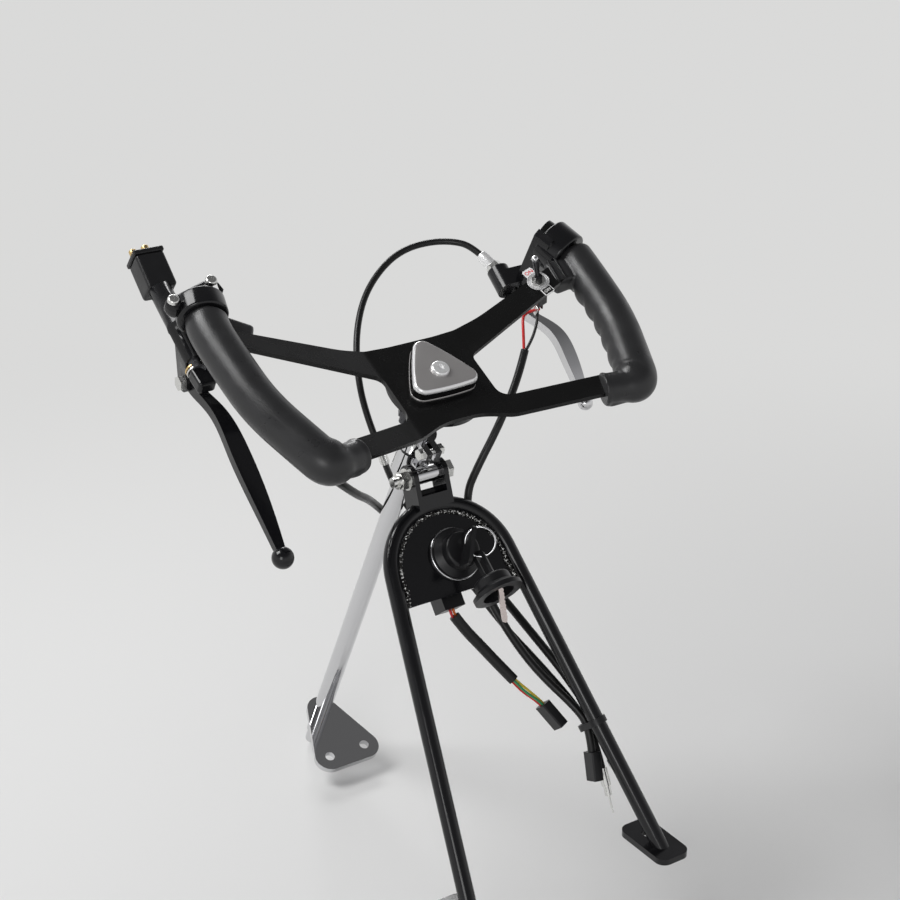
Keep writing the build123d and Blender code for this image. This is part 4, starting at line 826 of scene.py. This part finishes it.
def grip(side, top, knob):
    """Bar with finger grooves, an elbow, a sleeve round the plate's arm, and a knob near its top."""

    def outward(x, y, z):
        return wheel(side * x, y, z)

    name = "grip_right" if side > 0 else "grip_left"
    path = centre_line([outward(*p) for p in GRIP_ROUTE])
    path = evenly(path, round(length_of(path) / (GRIP_STEP * MM)))
    corner = min(range(len(path)), key=lambda k: (path[k] - outward(*ELBOW)).length)
    path = [p for k, p in enumerate(path) if k < corner or up_the_wheel(p) < top]
    length = length_of(path) / MM

    def radius_at(share, turn):
        u = share * length
        left = length - u
        high = up_the_wheel(path[round(share * (len(path) - 1))])
        swell = min(1.0, max(0.0, (u - SWELL_FROM) / SWELL_LENGTH))
        size = SLEEVE_RADIUS + (GRIP_RADIUS - SLEEVE_RADIUS) * swell * swell * (3 - 2 * swell)
        if u < COLLAR_LENGTH:
            size += COLLAR_HEIGHT * min(1.0, (COLLAR_LENGTH - u) / COLLAR_SLOPE)
            size -= LIP_DEPTH * max(0.0, 1 - u / LIP_LENGTH)
        if u > GROOVES_FROM and GROOVES_LOW < high < GROOVES_HIGH:
            inner = max(0.0, math.cos(turn + side * GROOVE_TURN)) ** 3
            wave = abs(math.sin(math.pi * (high - GROOVES_LOW) / GROOVE_PITCH))
            size += inner * (RIDGE_HEIGHT * wave - GROOVE_FLOOR)
        if left < END_ROUND:
            size -= END_ROUND - math.sqrt(END_ROUND**2 - (END_ROUND - left) ** 2)
        return size

    bar = sweep(name + "_bar", path, radius_at, sides=40, side=WHEEL_UP)
    ball_at, reach = outward(*BALL_AT), ACROSS * BALL_RADIUS * MM
    ball = drum("inner_corner", ball_at - reach, ball_at + reach, BALL_RADIUS, rim=BALL_RADIUS)
    x, y, z = LEDGE_WAY
    arm = wheel_way(side * x, y, z)
    lift = square_to(arm, WHEEL_OUT)
    ledge = box("ledge", outward(*LEDGE_AT), arm, lift, LEDGE_SIZE, bevel=3)
    skin = fused(name, [bar, ball, ledge, knob], voxel=0.9, rounds=12)
    return finished(skin, RUBBER, "steering", "grip_rubber", name)


def grips():
    """Left grip with its upper sleeve, right grip with its ribbed boss."""
    lift = square_to(SLEEVE_WAY, WHEEL_OUT)
    sleeve = box("upper_sleeve", wheel(*SLEEVE_AT), SLEEVE_WAY, lift, SLEEVE_SIZE, bevel=2.5)
    grip(-1, LEFT_TOP, sleeve)
    boss = box("boss", wheel(*BOSS_AT), BOSS_ALONG, BOSS_FACING, BOSS_SIZE, bevel=3.5)
    grip(1, RIGHT_TOP, boss)
    for k, off in enumerate(RIB_PLACES):
        place = wheel(*(at + way * off for at, way in zip(RIBS_AT, RIBS_WAY)))
        rib = box("boss_rib_%d" % k, place, BOSS_ALONG, BOSS_FACING, RIB_SIZE, bevel=0.6)
        finished(rib, PLASTIC, "steering", "grip_rubber")


# Right clamp's cover: its two ends
COVER_LOW = (152.0, 64.0, 25.2)
COVER_HIGH = (145.6, 83.8, 26)


def right_clamp():
    """Smooth cover over the cap and its bolts."""
    cover = drum("right_clamp_cover", wheel(*COVER_LOW), wheel(*COVER_HIGH), radius=18.9, rim=1.8)
    finished(cover, CASTING, "steering", "black_casting", "right_clamp_cap", "right_clamp_bolts")


# Left clamp: its ring's two ends, its lug bar, and its bolts' foot and places along the bar
CLAMP_LOW = (-154.5, 81.6, 25.2)
CLAMP_HIGH = (-151.0, 97.5, 26.0)
LUG_AT = (-158.0, 99.1, 29.5)
LUG_WAY = wheel_way(0.957, 0.29, 0)
LUG_SIZE = (42, 12.5, 13)
BOLT_FOOT = (-158.0, 99.1, 35.5)
BOLT_HEIGHT = 4.4
BOLT_PLACES = (-16.8, 19.5)
# Where the clamp's body and the grip tube are cut off
CLAMP_CUT_X = -133.5
TUBE_CUT_Y = 97.0


def left_clamp():
    """Ring and lug bar with two bright bolts, over the clamp's body and the grip tube's end."""
    ring = drum("left_clamp_ring", wheel(*CLAMP_LOW), wheel(*CLAMP_HIGH), radius=18.8, rim=2.2)
    finished(ring, CASTING, "steering", "black_casting", "left_clamp_cap", "left_clamp_bolts")
    lug = box("left_clamp_lug", wheel(*LUG_AT), LUG_WAY, WHEEL_OUT, LUG_SIZE, bevel=5)
    finished(lug, CASTING, "steering", "black_casting")
    for k, off in enumerate(BOLT_PLACES):
        foot = wheel(*BOLT_FOOT) + LUG_WAY * off * MM
        head = foot + WHEEL_OUT * BOLT_HEIGHT * MM
        bolt = drum("left_clamp_bolt_%d" % k, foot, head, radius=4.4, rim=1.6, sides=24)
        finished(bolt, ZINC, "steering", "zinc_steel")
    trimmed("left_clamp_body", "left_clamp", wheel(CLAMP_CUT_X, 0, 0), ACROSS, CASTING, "black_casting")
    trimmed("left_tube", "grip_tube_left", wheel(0, TUBE_CUT_Y, 0), WHEEL_UP, PLATE, "tube_steel")


# Hose fitting: its block's middle and size, and its washers' place up the wheel, finish and slot
FITTING_AT = (-159.5, 59.0, -12.0)
FITTING_SIZE = (14, 17, 11)
WASHERS = ((68.6, ZINC, "zinc_steel"), (71.0, BRASS, "brass"))
WASHER_X = -160
WASHER_Z = -14
WASHER_THICKNESS = 1.5


def hose_fitting():
    """Dark block and two washers where the hose meets the master cylinder."""
    block = box("fitting_block", wheel(*FITTING_AT), ACROSS, WHEEL_OUT, FITTING_SIZE, bevel=2.5)
    finished(block, CASTING, "steering", "black_casting")
    for k, (y, finish, slot) in enumerate(WASHERS):
        low, high = wheel(WASHER_X, y, WASHER_Z), wheel(WASHER_X, y + WASHER_THICKNESS, WASHER_Z)
        washer = drum("fitting_washer_%d" % k, low, high, radius=6.6, rim=0.4, sides=32)
        finished(washer, finish, "steering", slot)


# Reservoir: its middle, the way that its lid faces, and how far tank, lid and lid face are from the middle
RESERVOIR_AT = (-157.0, 155.5, 4.5)
RESERVOIR_WAY = wheel_way(0.02, 0.97, 0.24)
TANK_DROP = 4.2
TANK_SIZE = (29.5, 22.5, 19.5)
LID_RISE = 12.2
LID_SIZE = (4.0, 24.0, 21.0)
LID_FACE = 14.0
# Its screws: place across the lid, and nodes that each replaces; the second one stands a little further out
SCREWS = ((-8.2, ["reservoir_screws"]), (0.8, []))
SCREW_OUT = 3.6
SCREW_SKEW = 0.3
SCREW_HEIGHT = 5.2


def reservoir():
    """Short tank with its lid and two brass screws."""
    way, middle = RESERVOIR_WAY, wheel(*RESERVOIR_AT)
    out = square_to(way, WHEEL_OUT)
    tank = box("tank", middle - way * TANK_DROP * MM, way, out, TANK_SIZE, bevel=2.4)
    finished(tank, PLASTIC, "steering", "black_casting", "reservoir")
    lid = box("tank_lid", middle + way * LID_RISE * MM, way, out, LID_SIZE, bevel=1.2)
    finished(lid, PLASTIC, "steering", "black_casting", "reservoir_lid")
    lid_face = middle + way * LID_FACE * MM
    for k, (off, replaced) in enumerate(SCREWS):
        foot = lid_face + ACROSS * off * MM + out * (SCREW_OUT + SCREW_SKEW * off) * MM
        screw = drum("tank_screw_%d" % k, foot, foot + way * SCREW_HEIGHT * MM, radius=2.9, rim=0.9, sides=20)
        finished(screw, BRASS, "steering", "brass", *replaced)


# Cable adjuster's barrel: its two ends
BARREL_LOW = (119.6, 106.0, -14.8)
BARREL_HIGH = (116.8, 118.6, -14.4)


def adjuster_barrel():
    """Thick bright barrel on the cable adjuster."""
    barrel = drum("adjuster_barrel", wheel(*BARREL_LOW), wheel(*BARREL_HIGH), radius=4.8, rim=1.0, sides=32)
    finished(barrel, BRIGHT_STEEL_AND_HIGHLIGHT, "steering", "zinc_steel")


# Spare key's blade: its middle, its way down, and its outline's places along it and across it
BLADE_AT = (10.6, -36.5, 32.5)
BLADE_WAY = hoop_way(0, -0.92, -0.39)
BLADE_START = -15
BLADE_HALF_WIDTH = 2.2
BLADE_HALF_THICKNESS = 1
BLADE_TIP = ((15.2, 1.4), (16, 0), (15.2, -1.6), (13, -2.2))
TEETH = 9
FIRST_TOOTH = -12
TOOTH_PITCH = 3
TOOTH_SLOPE = 1.4
# Half width of the blade at a cut: the least, and the step between its three values
CUT_HALF_WIDTH = 1.3
CUT_STEP = 0.25


def toothed_blade():
    """Flat blade with teeth along one edge."""
    face_way = BLADE_WAY.cross(ACROSS)
    middle = hoop(*BLADE_AT)
    edge = [(BLADE_START, -BLADE_HALF_WIDTH), (BLADE_START, BLADE_HALF_WIDTH)]
    for k in range(TEETH):
        tooth = FIRST_TOOTH + TOOTH_PITCH * k
        edge += [(tooth, BLADE_HALF_WIDTH), (tooth + TOOTH_SLOPE, CUT_HALF_WIDTH + CUT_STEP * (k % 3))]
    edge += BLADE_TIP
    points = []
    for t in (-BLADE_HALF_THICKNESS, BLADE_HALF_THICKNESS):
        points += [middle + (BLADE_WAY * u + ACROSS * v + face_way * t) * MM for u, v in edge]
    blade = new_mesh("toothed_blade", points, skin_faces(2, len(edge)), smooth=False)
    finished(blade, KEY_STEEL, "support", "zinc_steel", "spare_blade")


# Centre cap: triangle with soft corners and slightly swollen sides
CAP_MIDDLE = 0.6
CAP_REACH = 21.6
CAP_ROUND = 8.4
CAP_SWELL = 0.8
CORNER_STEPS = 16
SIDE_STEPS = 12
# Its profile: inset from the outline and height over the plate, up the wall, round the bevel, to the top
CAP_WALL = [(0.3, 0.05), (-0.1, 0.1), (-0.1, 1.1), (0.2, 1.5), (0.35, 7.2)]
BEVEL_INSET = 0.35
BEVEL_FOOT = 7.3
BEVEL_WIDTH = 2.6
BEVEL_HEIGHT = 3.4
BEVEL_STEPS = 8
CAP_TOP = [(7.5, 10.75)]
# A face has painted shade from WALL_LOW up to the bevel's foot, and a painted highlight on the bevel from
# there up to BEVEL_HIGH
WALL_LOW = 1.3
BEVEL_HIGH = 10.45
CAP_SHARP = math.radians(28)


def arc(centre, radius, middle, half_turn, places, steps):
    """Points of an arc about its middle direction, each with its outward direction."""
    points = []
    for n in places:
        turn = middle - half_turn + 2 * half_turn * n / steps
        x, y = math.cos(turn), math.sin(turn)
        points.append((centre[0] + radius * x, centre[1] + radius * y, x, y))
    return points


def cap_outline():
    """Three soft corners, each followed by a side."""
    half_side = CAP_REACH * math.sin(math.radians(60))
    flat_radius = (half_side**2 + CAP_SWELL**2) / (2 * CAP_SWELL) + CAP_ROUND
    flat_turn = math.asin(half_side / (flat_radius - CAP_ROUND))
    back = flat_radius - (CAP_REACH * 0.5 + CAP_ROUND + CAP_SWELL)
    outline = []
    for away in (math.radians(90 + 120 * k) for k in range(3)):
        corner = (CAP_REACH * math.cos(away), CAP_MIDDLE + CAP_REACH * math.sin(away))
        half_turn = math.radians(60) - flat_turn
        outline += arc(corner, CAP_ROUND, away, half_turn, range(CORNER_STEPS + 1), CORNER_STEPS)
        facing = away + math.radians(60)
        centre = (-back * math.cos(facing), CAP_MIDDLE - back * math.sin(facing))
        outline += arc(centre, flat_radius, facing, flat_turn, range(1, SIDE_STEPS), SIDE_STEPS)
    return outline


def centre_cap():
    """Cap with a gunmetal top, a painted highlight on its bevel and painted shade on its wall."""
    outline = cap_outline()
    bevel = []
    for k in range(1, BEVEL_STEPS + 1):
        turn = math.pi / 2 * k / BEVEL_STEPS
        inset = BEVEL_INSET + BEVEL_WIDTH * (1 - math.cos(turn))
        bevel.append((inset, BEVEL_FOOT + BEVEL_HEIGHT * math.sin(turn)))
    rings = CAP_WALL + bevel + CAP_TOP
    points = []
    for inset, height in rings:
        points += [wheel(x - inset * nx, y - inset * ny, height) for x, y, nx, ny in outline]
    cap = new_mesh("centre_cap", points, skin_faces(len(rings), len(outline)))
    cap.data.set_sharp_from_angle(angle=CAP_SHARP)
    finished(cap, GUNMETAL, "steering", "painted_steel", "cap")
    # Second and third materials: painted shade for the wall and a painted highlight for the bevel
    for finish in (PAINTED_SHADE_WALL, BRIGHT_STEEL_AND_HIGHLIGHT):
        cap.data.materials.append(finish)
    for face in cap.data.polygons:
        height = (face.center - WHEEL_AT).dot(WHEEL_OUT) / MM
        if WALL_LOW < height < BEVEL_FOOT:
            face.material_index = 1
        elif BEVEL_FOOT <= height < BEVEL_HIGH:
            face.material_index = 2


# Bracket's web: its middle and size
WEB_AT = (0, 59.3, -1)
WEB_SIZE = (27, 10, 12)


def bracket_web():
    """Web that closes the lower part of the bracket."""
    web = box("bracket_web", hoop(*WEB_AT), ACROSS, HOOP_OUT, WEB_SIZE, bevel=1)
    finished(web, PAINT, "support", "painted_steel")


# Ignition switch: the bright ring's middle and sizes
BEZEL_AT = (4.6, 11.2, 2.3)
BEZEL_RADIUS = 19.8
BEZEL_WIRE = 1.05
BEZEL_STEPS = 72


def bezel_ring():
    """Thin bright ring round the key."""
    x, y, z = BEZEL_AT
    turns = [math.tau * k / BEZEL_STEPS for k in range(BEZEL_STEPS)]
    path = [hoop(x + BEZEL_RADIUS * math.cos(t), y + BEZEL_RADIUS * math.sin(t), z) for t in turns]
    ring = sweep("bezel_ring", path, lambda share, turn: BEZEL_WIRE, closed=True)
    finished(ring, CHROME, "support", "chrome_steel", "ignition_bezel")


# Brake cable's ferrule: the cable's nearest point to this one is its middle
FERRULE_AT = (-8.8, 11.9, -100)
FERRULE_HALF_LENGTH = 7


def cable_ferrule(line):
    """Silver ferrule half way along the brake cable."""
    near = min(range(len(line)), key=lambda k: (line[k] - wheel(*FERRULE_AT)).length)
    reach = (line[near + 2] - line[near - 2]).normalized() * FERRULE_HALF_LENGTH * MM
    ferrule = drum("cable_ferrule", line[near] - reach, line[near] + reach, radius=3.7, rim=0.5, sides=28)
    paint(ferrule, ZINC)
    bend_with_steering(ferrule)


switch_wires()
cores = {"ignition_lead": plug_wires() + block_wires()}
lines = {name: cord(name, facts) for name, facts in CORDS.items()}
weld_bead("gusset_weld_front", gusset_seam(SEAM_FACE))
weld_bead("gusset_weld_back", gusset_seam(-SEAM_FACE))
switch_words()
grips()
right_clamp()
left_clamp()
hose_fitting()
reservoir()
adjuster_barrel()
toothed_blade()
centre_cap()
bracket_web()
bezel_ring()
toggle_switch()
cable_ferrule(lines["brake_cable"])


# Floor, surroundings and light, in metres
FLOOR_REACH = 30
FLOOR_GAP = 0.002
FLOOR_GREY = (0.70, 0.70, 0.695, 1.0)
GLOW_NEAR = 0.35
GLOW_FAR = 1.35
# Brightness of the surroundings by height, with a cool tint on the greys between the ends
SKY = ((0.0, 0.95), (0.30, 0.80), (0.55, 0.30), (0.78, 0.16), (1.0, 0.16))
SKY_TINT = 1.02
SKY_STRENGTH = 0.85
# Lamps: name, place, the point that each faces, width and height, and power
LAMPS = (
    ("key", (-1.1, 0.9, 1.9), (0, 0.15, 0.25), (1.0, 1.0), 30),
    ("fill", (-1.8, -1.5, 1.2), (0, 0.15, 0.25), (1.0, 1.0), 12),
    ("rim", (0.6, 1.9, 1.3), (0, 0.15, 0.3), (1.0, 0.5), 14),
)


def math_node(tree, operation, first, second):
    node = tree.nodes.new("ShaderNodeMath")
    node.operation = operation
    tree.links.new(first, node.inputs[0])
    tree.links.new(second, node.inputs[1])
    return node.outputs["Value"]


def show_own_colour_far_off(tree):
    """Far from the object the floor shows its own colour to the camera, metal and glass."""
    distance = tree.nodes.new("ShaderNodeVectorMath")
    distance.operation = "LENGTH"
    tree.links.new(tree.nodes.new("ShaderNodeTexCoord").outputs["Object"], distance.inputs[0])
    far = tree.nodes.new("ShaderNodeMapRange")
    far.interpolation_type = "SMOOTHSTEP"
    far.inputs["From Min"].default_value = GLOW_NEAR
    far.inputs["From Max"].default_value = GLOW_FAR
    tree.links.new(distance.outputs["Value"], far.inputs["Value"])
    rays = tree.nodes.new("ShaderNodeLightPath").outputs
    seen = math_node(tree, "MAXIMUM", rays["Is Camera Ray"], rays["Is Glossy Ray"])
    seen = math_node(tree, "MAXIMUM", seen, rays["Is Transmission Ray"])
    glow = tree.nodes.new("ShaderNodeEmission")
    glow.inputs["Color"].default_value = FLOOR_GREY
    blend = tree.nodes.new("ShaderNodeMixShader")
    tree.links.new(math_node(tree, "MULTIPLY", seen, far.outputs["Result"]), blend.inputs["Fac"])
    tree.links.new(tree.nodes["Principled BSDF"].outputs["BSDF"], blend.inputs[1])
    tree.links.new(glow.outputs["Emission"], blend.inputs[2])
    tree.links.new(blend.outputs["Shader"], tree.nodes["Material Output"].inputs["Surface"])


def pale_floor():
    low = cad_box[0][2] - FLOOR_GAP
    corners = [(x * FLOOR_REACH, y * FLOOR_REACH, low) for x, y in ((-1, -1), (1, -1), (1, 1), (-1, 1))]
    floor = new_mesh("floor", corners, [(0, 1, 2, 3)], smooth=False)
    paint(floor, PALE_FLOOR)
    show_own_colour_far_off(PALE_FLOOR.node_tree)


def studio_world():
    """Bright low down and darker overhead."""
    world = bpy.data.worlds.new("studio")
    scene.world = world
    world.use_nodes = True
    tree = world.node_tree
    height = tree.nodes.new("ShaderNodeSeparateXYZ")
    tree.links.new(tree.nodes.new("ShaderNodeTexCoord").outputs["Generated"], height.inputs["Vector"])
    fade = tree.nodes.new("ShaderNodeValToRGB")
    stops = fade.color_ramp.elements
    for stop, (place, grey) in zip(stops, (SKY[0], SKY[-1])):
        stop.position = place
        stop.color = (grey, grey, grey, 1.0)
    for place, grey in SKY[1:-1]:
        stops.new(place).color = (grey, grey, grey * SKY_TINT, 1.0)
    tree.links.new(height.outputs["Z"], fade.inputs["Fac"])
    tree.links.new(fade.outputs["Color"], tree.nodes["Background"].inputs["Color"])
    tree.nodes["Background"].inputs["Strength"].default_value = SKY_STRENGTH


def lamp(name, place, target, size, power):
    data = bpy.data.lights.new(name, "AREA")
    data.shape = "RECTANGLE"
    data.size, data.size_y = size
    data.energy = power
    made = new_object(name, data)
    made.location = place
    made.rotation_euler = (Vector(target) - Vector(place)).to_track_quat("-Z", "Y").to_euler()


pale_floor()
studio_world()
for row in LAMPS:
    lamp(*row)
